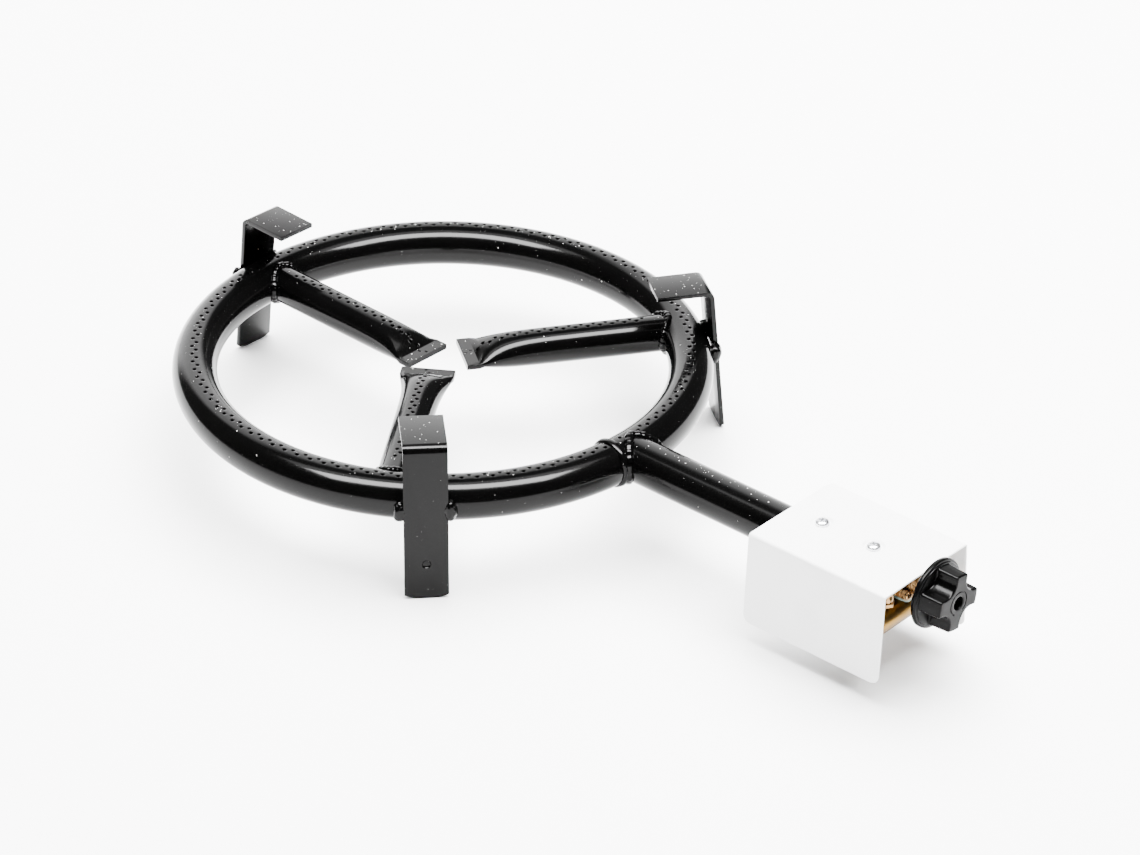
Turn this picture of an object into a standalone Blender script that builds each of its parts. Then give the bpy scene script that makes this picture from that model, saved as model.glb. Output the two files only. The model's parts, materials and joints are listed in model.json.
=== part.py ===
"""Propane burner stand: a hollow ring burner with three inward arms on three bent legs.

Gas enters a short rail at the front, passes a push-and-turn tap and an injector, and blows
into the inlet tube that feeds the ring. A folded sheet cover shields the tap.

Everything is laid out around the ring's centre, with the inlet towards -Y and +Z up. The root
empty then moves the whole burner so that it stands on z = 0 with its middle at the origin.
"""

from math import atan2, cos, pi, radians, sin, sqrt, tan

import bmesh
import bpy
from mathutils import Matrix, Vector

MM = 0.001
GAP = 0.3 * MM  # clearance between pieces that touch

# Ring, arms and inlet tube
RING_RADIUS = 137.5 * MM  # centre line of the ring tube
TUBE_RADIUS = 12.5 * MM
TUBE_WALL = 1.5 * MM
RING_STEPS = 48
TUBE_SIDES = 12
ARM_RADIUS = 10.35 * MM
ARM_FLAT_HALF_WIDTH = 15.1 * MM
ARM_FLAT_HALF_THICKNESS = 1.6 * MM
ARM_FLAT_LENGTH = 7 * MM
ARM_FLARE_LENGTH = 30 * MM
ARM_ROUNDING_LENGTH = 4 * MM
ARM_SIDES = 16
INLET_RADIUS = 12.4 * MM
HEAD_X = -2.8 * MM  # the inlet and the tap sit a little off the ring's middle
INLET_END_Y = -297 * MM

# Each arm: the angle of its base on the ring, and where the middle of its flat end lies
ARMS = {
    "back": (radians(88.2), (0.3 * MM, 12.2 * MM)),
    "left": (radians(211.0), (-11.0 * MM, 0.8 * MM)),
    "right": (radians(327.9), (14.4 * MM, -0.7 * MM)),
}

# Legs: bent strips whose outer faces lean outwards towards the foot
LEG_WIDTH = 23.8 * MM
LEG_THICKNESS = 2.5 * MM
LEG_SPLAY = radians(5.5)
LEG_TOP = 38.6 * MM  # pan rest above the ring's centre line
LEG_PLATE_INNER_RADIUS = 116.8 * MM
LEG_BEND_RADIUS = 5 * MM
LEG_FOOT_RADIUS = 30 * MM
FLOOR = -50.2 * MM  # the surface that the legs stand on, below the ring's centre line
# Each leg: its angle round the ring, and how far its plate turns from pointing at the middle
LEGS = {
    "back": (radians(87.6), radians(-0.5)),
    "left": (radians(219.2), radians(7.9)),
    "right": (radians(322.0), radians(3.3)),
}

# Cover: a sheet folded down on both sides
COVER_TOP = 14.8 * MM
COVER_SHEET = 1 * MM
COVER_HALF_WIDTH = 34.6 * MM
COVER_BACK_Y = -249.8 * MM
COVER_FRONT_Y = -339.5 * MM
COVER_BOTTOM = -38.2 * MM
COVER_FLARE = radians(2.5)
COVER_BEND_RADIUS = 2 * MM
COVER_CORNER_RADIUS = 5 * MM
COVER_SCREW_YS = {"back": -271 * MM, "front": -305 * MM}
# Screw sizes: head radius, head height, shank radius, shank length
COVER_SCREW_SIZE = (3.5 * MM, 2.1 * MM, 2 * MM, 7 * MM)
CAP_SCREW_SIZE = (2.5 * MM, 1.6 * MM, 1.3 * MM, 5.6 * MM)

# Bracket under the cover
BRACKET_SHEET = 0.8 * MM
BRACKET_WIDTH = 18 * MM
BRACKET_BACK_Y = -260 * MM
BRACKET_TAB_Y = -317.6 * MM
BRACKET_BOTTOM = -11 * MM
BRACKET_HOLE_RADIUS = 2.4 * MM

# Gas rail
RAIL_Y = -325 * MM
RAIL_Z = -13.6 * MM
RAIL_RADIUS = 6.8 * MM
RAIL_WALL = 1.2 * MM
RAIL_LEFT_X = -34 * MM
RAIL_RIGHT_X = 16.1 * MM
NIPPLE_X = -16 * MM
ELBOW_SIZE = 18 * MM
ELBOW_X = 22.4 * MM
THREAD_RADIUS = 6.6 * MM
THREAD_END_Y = -304 * MM

# Tap, on the knob's axis
TAP_Z = 4.1 * MM
BODY_RADIUS = 8 * MM
BODY_FRONT_Y = -331.2 * MM
BODY_BACK_Y = -318.2 * MM
NOSE_RADIUS = 4.2 * MM
FOOT_RADIUS = 5 * MM
FOOT_BOTTOM = -5 * MM
SPIGOT_RADIUS = 1.9 * MM
PLUG_FRONT_RADIUS = 5.5 * MM
PLUG_BACK_RADIUS = 4.1 * MM
PLUG_SLOT_Y = -327.8 * MM  # bottom of the slot that the stem drives
BOSS_FRONT_Y = -340.4 * MM
STEM_RADIUS = 3 * MM
STEM_TIP_Y = -356.6 * MM
STEM_TAIL_Y = -331.1 * MM
COLLAR_RADIUS = 3.8 * MM
COLLAR_FRONT_Y = -339.1 * MM
COLLAR_BACK_Y = -338.1 * MM
SPRING_RADIUS = 3.2 * MM
SPRING_FRONT_Y = -337.2 * MM
SPRING_BACK_Y = -332.4 * MM
CAP_SCREW_RADIUS = 8.2 * MM
CAP_SCREW_ANGLES = {"right": radians(24), "left": radians(204)}

# Knob
KNOB_FRONT_Y = -360.8 * MM
KNOB_BACK_Y = -344.6 * MM
SKIRT_RADIUS = 19.4 * MM
SKIRT_THICKNESS = 2.8 * MM
LOBE_RADIUS = 16.3 * MM
WAIST_RADIUS = 10.4 * MM
LOBES = 4
LOBE_ANGLE = radians(-10)
KNOB_BORE = 4.2 * MM
KNOB_FRONT_HOLE = 3.6 * MM

# Where the burner's middle and floor fall, from the sizes above
LEG_FOOT_RADIUS_OUT = RING_RADIUS + TUBE_RADIUS + GAP + LEG_THICKNESS - FLOOR * tan(LEG_SPLAY)
RING_Y = -(KNOB_FRONT_Y + LEG_FOOT_RADIUS_OUT) / 2
RING_Z = -FLOOR

FINISHES = {
    "enamel": ((0.012, 0.012, 0.013), 0.12, 0.0),
    "weld": ((0.015, 0.015, 0.016), 0.25, 0.0),
    "white_paint": ((0.86, 0.86, 0.86), 0.45, 0.0),
    "brass": ((0.72, 0.47, 0.20), 0.28, 1.0),
    "gold_zinc": ((0.78, 0.53, 0.16), 0.30, 1.0),
    "zinc": ((0.62, 0.63, 0.65), 0.32, 1.0),
    "knob_plastic": ((0.018, 0.018, 0.019), 0.22, 0.0),
    "fibre": ((0.16, 0.20, 0.17), 0.80, 0.0),
}


def new_collection(name):
    collection = bpy.data.collections.new(name)
    bpy.context.scene.collection.children.link(collection)
    return collection


for old in list(bpy.data.objects):
    bpy.data.objects.remove(old, do_unlink=True)
PARTS = new_collection("propane_burner_stand")
CUTTERS = new_collection("cutters")
ROOT = bpy.data.objects.new("burner_frame", None)
ROOT.location = (0, RING_Y, RING_Z)
PARTS.objects.link(ROOT)


# ---------------------------------------------------------------- objects and modifiers


def finish_material(name, finish):
    """A Principled material of its own for one piece."""
    colour, roughness, metallic = FINISHES[finish]
    material = bpy.data.materials.new(name + "_finish")
    material.use_nodes = True
    shader = material.node_tree.nodes["Principled BSDF"]
    shader.inputs["Base Color"].default_value = (*colour, 1)
    shader.inputs["Roughness"].default_value = roughness
    shader.inputs["Metallic"].default_value = metallic
    material.diffuse_color = (*colour, 1)
    return material


def place(obj, location, direction, parent):
    """Puts an object at a place, with its own +Z along a direction."""
    obj.parent = parent
    obj.location = location
    obj.rotation_mode = "QUATERNION"
    obj.rotation_quaternion = Vector((0, 0, 1)).rotation_difference(Vector(direction))


def add_piece(name, data, finish, location=(0, 0, 0), direction=(0, 0, 1), parent=ROOT):
    obj = bpy.data.objects.new(name, data)
    PARTS.objects.link(obj)
    place(obj, location, direction, parent)
    data.materials.append(finish_material(name, finish))
    return obj


def add_cutter(name, data, location=(0, 0, 0), direction=(0, 0, 1), parent=ROOT):
    obj = bpy.data.objects.new(name, data)
    CUTTERS.objects.link(obj)
    place(obj, location, direction, parent)
    obj.hide_render = True
    obj.display_type = "WIRE"
    return obj


def combine(piece, tool, operation="DIFFERENCE"):
    modifier = piece.modifiers.new(tool.name, "BOOLEAN")
    modifier.operation = operation
    modifier.object = tool


def mesh_from(build):
    """A mesh filled by a function that receives an empty bmesh."""
    mesh = bpy.data.meshes.new("shape")
    bm = bmesh.new()
    build(bm)
    bm.to_mesh(mesh)
    bm.free()
    return mesh


def smooth(obj, angle=radians(40)):
    obj.data.shade_smooth()
    obj.data.set_sharp_from_angle(angle=angle)


def cone_mesh(radius, length, sides=24, end_radius=None):
    """A cylinder, prism or cone from z = 0 up to its length."""
    top = radius if end_radius is None else end_radius

    def build(bm):
        bmesh.ops.create_cone(
            bm, cap_ends=True, segments=sides, radius1=radius, radius2=top, depth=length
        )
        bmesh.ops.translate(bm, verts=bm.verts, vec=(0, 0, length / 2))

    return mesh_from(build)


def box_mesh(x, y, z):
    def build(bm):
        bmesh.ops.create_cube(bm, size=1)
        bmesh.ops.scale(bm, vec=(x, y, z), verts=bm.verts)

    return mesh_from(build)


def profile_mesh(points, closed):
    """A chain of edges in the XZ plane, from (radius, height) pairs."""

    def build(bm):
        corners = [bm.verts.new((radius, 0, height)) for radius, height in points]
        for first, second in zip(corners, corners[1:]):
            bm.edges.new((first, second))
        if closed:
            bm.edges.new((corners[-1], corners[0]))

    return mesh_from(build)


def spin(obj, steps):
    """Turns an object's profile once round its own Z axis."""
    screw = obj.modifiers.new("turn", "SCREW")
    screw.steps = steps
    screw.render_steps = steps
    screw.use_merge_vertices = True
    screw.merge_threshold = 0.00001
    screw.use_smooth_shade = True


def add_turned(name, points, finish, location, direction, steps=24, closed=False, parent=ROOT):
    mesh = profile_mesh(points, closed)
    obj = add_piece(name, mesh, finish, location, direction, parent)
    spin(obj, steps)
    return obj


def bored(inner, outer, top, bottom):
    """The closed profile of a plain sleeve."""
    return [(inner, top), (outer, top), (outer, bottom), (inner, bottom)]


def drill(piece, name, radius, start, end, sides=16):
    """Cuts a round hole from one point to another."""
    run = Vector(end) - Vector(start)
    tool = add_cutter(name, cone_mesh(radius, run.length, sides), start, run)
    combine(piece, tool)


def ribbon_mesh(rows, across):
    """A sheet's outer face, following rows of (point, half width) along the direction across.

    Seen from outside, the rows run away from the viewer with the direction across to the right.
    """

    def build(bm):
        last = None
        for point, half_width in rows:
            left = bm.verts.new(Vector(point) - Vector(across) * half_width)
            right = bm.verts.new(Vector(point) + Vector(across) * half_width)
            if last:
                bm.faces.new((left, right, last[1], last[0]))
            last = (left, right)

    return mesh_from(build)


def thicken(obj, thickness):
    """Gives a sheet its thickness, inwards from its outer face."""
    solid = obj.modifiers.new("sheet", "SOLIDIFY")
    solid.thickness = thickness
    solid.offset = -1
    solid.use_even_offset = True


def arc_points(centre, radius, start, end, steps):
    """Points in a plane along an arc, both ends included."""
    angles = [start + (end - start) * i / steps for i in range(steps + 1)]
    return [(centre[0] + radius * cos(a), centre[1] + radius * sin(a)) for a in angles]


# ---------------------------------------------------------------- ring, arms and inlet


def torus_profile(radius, reverse=False):
    """The ring tube's section as a circle of points, going down its outer side."""
    angles = [-2 * pi * i / TUBE_SIDES for i in range(TUBE_SIDES)]
    if reverse:
        angles = [-a for a in angles]
    return [(RING_RADIUS + radius * cos(a), radius * sin(a)) for a in angles]


def hollow_ring_mesh():
    """Both circles of the ring tube's section, outer wall and bore."""
    mesh = bpy.data.meshes.new("ring_section")
    outer = torus_profile(TUBE_RADIUS)
    inner = torus_profile(TUBE_RADIUS - TUBE_WALL, reverse=True)
    bm = bmesh.new()
    for circle in (outer, inner):
        corners = [bm.verts.new((x, 0, z)) for x, z in circle]
        for i, corner in enumerate(corners):
            bm.edges.new((corner, corners[(i + 1) % len(corners)]))
    bm.to_mesh(mesh)
    bm.free()
    return mesh


def add_ring_cutter():
    """The ring's outside, a gap larger: what meets the ring is cut back by it."""
    mesh = profile_mesh(torus_profile(TUBE_RADIUS + GAP), True)
    tool = add_cutter("ring_clearance", mesh)
    spin(tool, RING_STEPS)
    return tool


def arm_frame(name):
    """An arm's flat end, its direction towards the ring, and its length to the centre line."""
    angle, (x, y) = ARMS[name]
    base = Vector((RING_RADIUS * cos(angle), RING_RADIUS * sin(angle), 0))
    end = Vector((x, y, 0))
    return end, (base - end).normalized(), (base - end).length


def arm_section(along):
    """Half width, half height and squareness of an arm, a distance from its flat end."""
    past = max(along - ARM_FLAT_LENGTH, 0)
    share = min(past / ARM_FLARE_LENGTH, 1)
    rise = sin(share * pi / 2) ** 0.8
    flare = share * share * (3 - 2 * share)
    width = ARM_FLAT_HALF_WIDTH + (ARM_RADIUS - ARM_FLAT_HALF_WIDTH) * flare
    height = ARM_FLAT_HALF_THICKNESS + (ARM_RADIUS - ARM_FLAT_HALF_THICKNESS) * rise
    squareness = min(height / width + past / ARM_ROUNDING_LENGTH, 1)
    return width, height, squareness


def arm_loop(bm, name, along, inset):
    """One cross-section of an arm, nearly a rectangle at the flat and a circle at the ring."""
    end, direction, _ = arm_frame(name)
    side = Vector((-direction.y, direction.x, 0))
    width, height, squareness = arm_section(along)
    centre = end + direction * along
    loop = []
    for i in range(ARM_SIDES):
        angle = 2 * pi * i / ARM_SIDES
        across = abs(cos(angle)) ** squareness * (1 if cos(angle) >= 0 else -1)
        up = abs(sin(angle)) ** squareness * (1 if sin(angle) >= 0 else -1)
        offset = side * across * (width - inset) + Vector((0, 0, up * (height - inset)))
        loop.append(bm.verts.new(centre + offset))
    return loop


def skin(bm, loops):
    for first, second in zip(loops, loops[1:]):
        for i, corner in enumerate(first):
            after = (i + 1) % len(first)
            bm.faces.new((corner, first[after], second[after], second[i]))


def arm_mesh(name):
    """A tube that starts round at the ring and is pressed flat and shut at its inner end."""
    length = arm_frame(name)[2]
    flare = [ARM_FLAT_LENGTH + ARM_FLARE_LENGTH * i / 7 for i in range(8)]

    def build(bm):
        outer = [arm_loop(bm, name, along, 0) for along in [0, *flare, length]]
        inner = [arm_loop(bm, name, along, TUBE_WALL) for along in [*flare[1:], length]]
        skin(bm, outer)
        skin(bm, [loop[::-1] for loop in inner])
        bm.faces.new(outer[0][::-1])
        bm.faces.new(inner[0])
        for i, corner in enumerate(outer[-1]):
            after = (i + 1) % ARM_SIDES
            bm.faces.new((corner, outer[-1][after], inner[-1][after], inner[-1][i]))
        bmesh.ops.recalc_face_normals(bm, faces=bm.faces)

    return mesh_from(build)


def add_ring():
    ring = add_piece("ring_tube", hollow_ring_mesh(), "enamel")
    spin(ring, RING_STEPS)
    for name in ARMS:
        end, direction, length = arm_frame(name)
        start = end + direction * (length - 28 * MM)
        drill(ring, f"arm_port_{name}", 8 * MM, start, end + direction * length)
    inner_end = (HEAD_X, -RING_RADIUS, 0)
    drill(ring, "inlet_port", 10 * MM, inner_end, (HEAD_X, -RING_RADIUS - 24 * MM, 0))


def add_arms(ring_cutter):
    for name in ARMS:
        arm = add_piece(f"arm_tube_{name}", arm_mesh(name), "enamel")
        smooth(arm)
        combine(arm, ring_cutter)


def add_inlet_tube(ring_cutter):
    length = -INLET_END_Y - RING_RADIUS
    sleeve = bored(INLET_RADIUS - TUBE_WALL, INLET_RADIUS, length, 0)
    start = (HEAD_X, -RING_RADIUS, 0)
    tube = add_turned("inlet_tube", sleeve, "enamel", start, (0, -1, 0), 28, True)
    combine(tube, ring_cutter)
    back = COVER_SCREW_YS["back"]
    drill(tube, "tube_screw_hole", BRACKET_HOLE_RADIUS, (HEAD_X, back, 8 * MM), (HEAD_X, back, 16 * MM))


# ---------------------------------------------------------------- weld beads


def saddle_path(centre, direction, radius, side_of_ring, points=24):
    """The closed line where a tube's surface meets the ring's, round the tube."""
    side = Vector((-direction.y, direction.x, 0))
    path = []
    for i in range(points):
        angle = 2 * pi * i / points
        up = radius * sin(angle)
        depth = sqrt(max(TUBE_RADIUS**2 - up**2, 0))
        reach = RING_RADIUS + side_of_ring * depth
        foot = centre + side * radius * cos(angle)
        along = direction.dot(foot)
        to_circle = -along + sqrt(along**2 - foot.length_squared + reach**2)
        path.append(foot + direction * to_circle + Vector((0, 0, up)))
    return path


def bead_mesh(path, radius):
    """A closed weld bead along a path, as a mesh that Booleans can cut."""
    curve = bpy.data.curves.new("bead", "CURVE")
    curve.dimensions = "3D"
    curve.bevel_depth = radius
    curve.bevel_resolution = 1
    spline = curve.splines.new("POLY")
    spline.points.add(len(path) - 1)
    for point, place_at in zip(spline.points, path):
        point.co = (*place_at, 1)
    spline.use_cyclic_u = True
    holder = bpy.data.objects.new("bead_curve", curve)
    CUTTERS.objects.link(holder)
    bpy.context.view_layer.update()
    evaluated = holder.evaluated_get(bpy.context.evaluated_depsgraph_get())
    mesh = bpy.data.meshes.new_from_object(evaluated)
    bpy.data.objects.remove(holder, do_unlink=True)
    return mesh


def add_tube_welds(ring_cutter):
    """A bead round the foot of each arm and of the inlet tube."""
    bead = 2.1 * MM
    for name in ARMS:
        end, direction, length = arm_frame(name)
        path = saddle_path(end, direction, ARM_RADIUS, -1)
        weld = add_piece(f"arm_weld_{name}", bead_mesh(path, bead), "weld")
        sleeve = cone_mesh(ARM_RADIUS + GAP, length, 28)
        combine(weld, ring_cutter)
        combine(weld, add_cutter(f"arm_clearance_{name}", sleeve, end, direction))
    start = Vector((HEAD_X, 0, 0))
    path = saddle_path(start, Vector((0, -1, 0)), INLET_RADIUS, 1)
    weld = add_piece("inlet_weld", bead_mesh(path, bead), "weld")
    sleeve = cone_mesh(INLET_RADIUS + GAP, 200 * MM, 28)
    combine(weld, ring_cutter)
    combine(weld, add_cutter("inlet_clearance", sleeve, start, (0, -1, 0)))


def add_ring_seam():
    """The raised bead that closes the ring tube, beside the inlet."""
    angle = radians(-98.5)
    section = bored(TUBE_RADIUS + GAP, TUBE_RADIUS + 1.3 * MM, 1.8 * MM, -1.8 * MM)
    middle = (RING_RADIUS * cos(angle), RING_RADIUS * sin(angle), 0)
    add_turned("ring_seam_weld", section, "weld", middle, (-sin(angle), cos(angle), 0), 20, True)


# ---------------------------------------------------------------- legs


def leg_rows():
    """The outer face of a leg, from its plate's inner edge down to its rounded foot."""
    lean = tan(LEG_SPLAY)
    outer_at_ring = RING_RADIUS + TUBE_RADIUS + GAP + LEG_THICKNESS
    corner = outer_at_ring - LEG_TOP * lean
    tangent = LEG_BEND_RADIUS * tan((pi / 2 - LEG_SPLAY) / 2)
    centre = (corner - tangent, LEG_TOP - LEG_BEND_RADIUS)
    half = LEG_WIDTH / 2
    rows = [((LEG_PLATE_INNER_RADIUS, LEG_TOP), half)]
    rows += [(point, half) for point in arc_points(centre, LEG_BEND_RADIUS, pi / 2, LEG_SPLAY, 6)]
    sag = LEG_FOOT_RADIUS - sqrt(LEG_FOOT_RADIUS**2 - half**2)
    overrun = 0.6 * MM  # cut off level with the floor
    widest = atan2(half, LEG_FOOT_RADIUS - sag)
    for i in range(5):
        angle = widest * (1 - i / 5)
        height = FLOOR - overrun + LEG_FOOT_RADIUS * (1 - cos(angle))
        rows.append(((outer_at_ring - height * lean, height), LEG_FOOT_RADIUS * sin(angle)))
    return rows


def leg_frame(name):
    """Where a leg's middle meets the ring, and its outward and sideways directions."""
    angle, turn = LEGS[name]
    out = Vector((cos(angle + turn), sin(angle + turn), 0))
    across = Vector((-sin(angle + turn), cos(angle + turn), 0))
    reach = (RING_RADIUS + TUBE_RADIUS) / cos(turn)
    return reach * Vector((cos(angle), sin(angle), 0)), out, across


def add_legs():
    below = 20 * MM
    floor = add_cutter("floor", box_mesh(0.5, 0.5, below), (0, 0, FLOOR - below / 2))
    for name in LEGS:
        middle, out, across = leg_frame(name)
        rows = []
        for (radius, height), half_width in leg_rows():
            outwards = out * (radius - RING_RADIUS - TUBE_RADIUS)
            rows.append((middle + outwards + Vector((0, 0, height)), half_width))
        leg = add_piece(f"leg_{name}", ribbon_mesh(rows, across), "enamel")
        thicken(leg, LEG_THICKNESS)
        combine(leg, floor)


def weld_lump(bm):
    bmesh.ops.create_uvsphere(bm, u_segments=12, v_segments=8, radius=4.4 * MM)
    bmesh.ops.scale(bm, vec=(1, 1, 1.3), verts=bm.verts)


def add_leg_welds(ring_cutter):
    """A lump of weld on each side of each leg, where it touches the ring."""
    slab_thickness = LEG_THICKNESS * 3
    slab_start = -1.2 * MM  # the leg's upper half leans in over the ring
    for name in LEGS:
        middle, out, across = leg_frame(name)
        slab = box_mesh(LEG_WIDTH + 2 * GAP, slab_thickness, 30 * MM)
        slab_at = middle + out * (slab_start + slab_thickness / 2)
        block = add_cutter(f"leg_clearance_{name}", slab, slab_at)
        block.rotation_quaternion = Matrix((across, -out, (0, 0, 1))).transposed().to_quaternion()
        for label, side in (("a", -1), ("b", 1)):
            spot = middle + across * side * (LEG_WIDTH / 2 + 0.9 * MM)
            weld = add_piece(f"leg_weld_{name}_{label}", mesh_from(weld_lump), "weld", spot)
            smooth(weld)
            combine(weld, ring_cutter)
            combine(weld, block)


# ---------------------------------------------------------------- cover and bracket


def cover_rows():
    """The cover's outer face, from the left bottom edge over the top to the right one."""
    bend = pi / 2 - COVER_FLARE
    tangent = COVER_BEND_RADIUS * tan(bend / 2)
    arc_x = COVER_HALF_WIDTH - tangent
    arc_z = COVER_TOP - COVER_BEND_RADIUS
    half = (COVER_BACK_Y - COVER_FRONT_Y) / 2
    bend_points = arc_points((arc_x, arc_z), COVER_BEND_RADIUS, pi / 2, COVER_FLARE, 4)
    right = [(point, half) for point in bend_points]
    for i in range(6):
        angle = pi / 2 * i / 5
        height = COVER_BOTTOM + COVER_CORNER_RADIUS * (1 - sin(angle))
        outward = COVER_HALF_WIDTH + (COVER_TOP - height) * tan(COVER_FLARE)
        right.append(((outward, height), half - COVER_CORNER_RADIUS * (1 - cos(angle))))
    left = [((-x, z), width) for (x, z), width in reversed(right)]
    return left + right


def add_cover():
    middle_y = (COVER_BACK_Y + COVER_FRONT_Y) / 2
    rows = [((HEAD_X + x, middle_y, z), half) for (x, z), half in cover_rows()]
    cover = add_piece("cover", ribbon_mesh(rows, (0, 1, 0)), "white_paint")
    thicken(cover, COVER_SHEET)
    for name, y in COVER_SCREW_YS.items():
        drill(cover, f"cover_hole_{name}", 2.4 * MM, (HEAD_X, y, 12 * MM), (HEAD_X, y, 18 * MM))


def add_bracket():
    """A strip along the top of the inlet tube, bent down to carry the tap's nose."""
    top = INLET_RADIUS + GAP + BRACKET_SHEET
    bend = 2 * MM
    centre = (BRACKET_TAB_Y + bend, top - bend)
    half = BRACKET_WIDTH / 2
    line = [(BRACKET_BACK_Y, top)]
    line += arc_points(centre, bend, pi / 2, pi, 4)
    line.append((BRACKET_TAB_Y, BRACKET_BOTTOM))
    rows = [((HEAD_X, y, z), half) for y, z in line]
    bracket = add_piece("tap_bracket", ribbon_mesh(rows, (1, 0, 0)), "gold_zinc")
    thicken(bracket, BRACKET_SHEET)
    for name, y in COVER_SCREW_YS.items():
        start = (HEAD_X, y, 10 * MM)
        drill(bracket, f"bracket_hole_{name}", BRACKET_HOLE_RADIUS, start, (HEAD_X, y, 15 * MM))
    nose = ((HEAD_X, BRACKET_TAB_Y - 2 * MM, 0), (HEAD_X, BRACKET_TAB_Y + 3 * MM, 0))
    drill(bracket, "bracket_nose_hole", NOSE_RADIUS + GAP, *nose)


def pan_screw(name, size, finish, seat, direction):
    """A pan-head screw with a cross recess, from its seat; its head lies ahead along direction."""
    head_radius, head_height, shank_radius, length = size
    outline = [
        (0, head_height),
        (head_radius * 0.55, head_height),
        (head_radius * 0.9, head_height * 0.6),
        (head_radius, 0),
        (shank_radius, 0),
        (shank_radius, -length),
        (0, -length),
    ]
    screw = add_turned(name, outline, finish, seat, direction, 16)
    long = head_radius * 1.1
    thin = head_radius * 0.26
    for label, across, along in (("x", long, thin), ("y", thin, long)):
        slot = box_mesh(across, along, head_height)
        combine(screw, add_cutter(f"{name}_recess_{label}", slot, (0, 0, head_height), parent=screw))


def add_cover_screws():
    for name, y in COVER_SCREW_YS.items():
        seat = (HEAD_X, y, COVER_TOP + GAP)
        pan_screw(f"cover_screw_{name}", COVER_SCREW_SIZE, "zinc", seat, (0, 0, 1))


# ---------------------------------------------------------------- gas rail


def add_rail():
    length = RAIL_RIGHT_X - RAIL_LEFT_X
    sleeve = bored(RAIL_RADIUS - RAIL_WALL, RAIL_RADIUS, length, 0)
    start = (RAIL_LEFT_X, RAIL_Y, RAIL_Z)
    rail = add_turned("gas_rail", sleeve, "gold_zinc", start, (1, 0, 0), 24, True)
    for name, x, radius in (("tap", HEAD_X, 2.2 * MM), ("nipple", NIPPLE_X, 2.2 * MM)):
        drill(rail, f"rail_port_{name}", radius, (x, RAIL_Y, RAIL_Z), (x, RAIL_Y, RAIL_Z + 10 * MM))


def add_rail_plug():
    spigot = RAIL_RADIUS - RAIL_WALL - GAP
    outline = [
        (0, 1.5 * MM),
        (RAIL_RADIUS, 1.5 * MM),
        (RAIL_RADIUS, 0),
        (spigot, 0),
        (spigot, -4 * MM),
        (0, -4 * MM),
    ]
    seat = (RAIL_LEFT_X - GAP, RAIL_Y, RAIL_Z)
    add_turned("rail_end_plug", outline, "brass", seat, (-1, 0, 0))


def add_inlet_elbow():
    """The block on the rail's right end, with the threaded inlet facing backwards."""
    centre = Vector((ELBOW_X, RAIL_Y, RAIL_Z))
    block = box_mesh(ELBOW_SIZE, ELBOW_SIZE, ELBOW_SIZE)
    elbow = add_piece("inlet_elbow", block, "brass", centre)
    back = Vector((ELBOW_X, RAIL_Y + ELBOW_SIZE / 2 - 1 * MM, RAIL_Z))
    thread_length = THREAD_END_Y - back.y
    spigot = add_cutter("inlet_thread", cone_mesh(THREAD_RADIUS, thread_length), back, (0, 1, 0))
    combine(elbow, spigot, "UNION")
    socket_start = (ELBOW_X - ELBOW_SIZE / 2 - 1 * MM, RAIL_Y, RAIL_Z)
    drill(elbow, "inlet_socket", RAIL_RADIUS + GAP, socket_start, (RAIL_RIGHT_X + GAP, RAIL_Y, RAIL_Z), 24)
    drill(elbow, "inlet_cross_bore", 3.8 * MM, socket_start, centre)
    mouth = (ELBOW_X, THREAD_END_Y + 1 * MM, RAIL_Z)
    drill(elbow, "inlet_bore", 4 * MM, (ELBOW_X, RAIL_Y - 4 * MM, RAIL_Z), mouth)


def add_test_nipple():
    """The pressure test point that stands on the rail, and the screw that seals it."""
    seat = Vector((NIPPLE_X, RAIL_Y, RAIL_Z + RAIL_RADIUS + GAP))
    nipple = add_piece("test_nipple", cone_mesh(4.2 * MM, 2.6 * MM, 6), "brass", seat)
    barrel = add_cutter("nipple_barrel", cone_mesh(3.4 * MM, 11 * MM), seat + Vector((0, 0, 2 * MM)))
    combine(nipple, barrel, "UNION")
    spigot = add_cutter("nipple_spigot", cone_mesh(1.9 * MM, 3 * MM, 16), seat - Vector((0, 0, 2 * MM)))
    combine(nipple, spigot, "UNION")
    drill(nipple, "nipple_bore", 1.2 * MM, seat - Vector((0, 0, 4 * MM)), seat + Vector((0, 0, 14 * MM)))
    mouth = seat + Vector((0, 0, 13 * MM))
    drill(nipple, "nipple_seat", 2 * MM, mouth - Vector((0, 0, 5 * MM)), mouth + Vector((0, 0, 1 * MM)))
    screw_seat = mouth - Vector((0, 0, 1.2 * MM))
    outline = [
        (0, 0.9 * MM),
        (1.7 * MM, 0.9 * MM),
        (1.7 * MM, -2.6 * MM),
        (0.9 * MM, -3.4 * MM),
        (0, -3.4 * MM),
    ]
    screw = add_turned("test_nipple_screw", outline, "zinc", screw_seat, (0, 0, 1), 16)
    slot = box_mesh(5 * MM, 0.6 * MM, 1.4 * MM)
    combine(screw, add_cutter("nipple_screw_slot", slot, (0, 0, 0.9 * MM), (0, 0, 1), screw))


# ---------------------------------------------------------------- tap


def tap_point(y, radius=0.0, angle=0.0):
    """A point at a distance and an angle from the tap's axis, seen from the front."""
    return Vector((HEAD_X + radius * cos(angle), y, TAP_Z + radius * sin(angle)))


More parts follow.
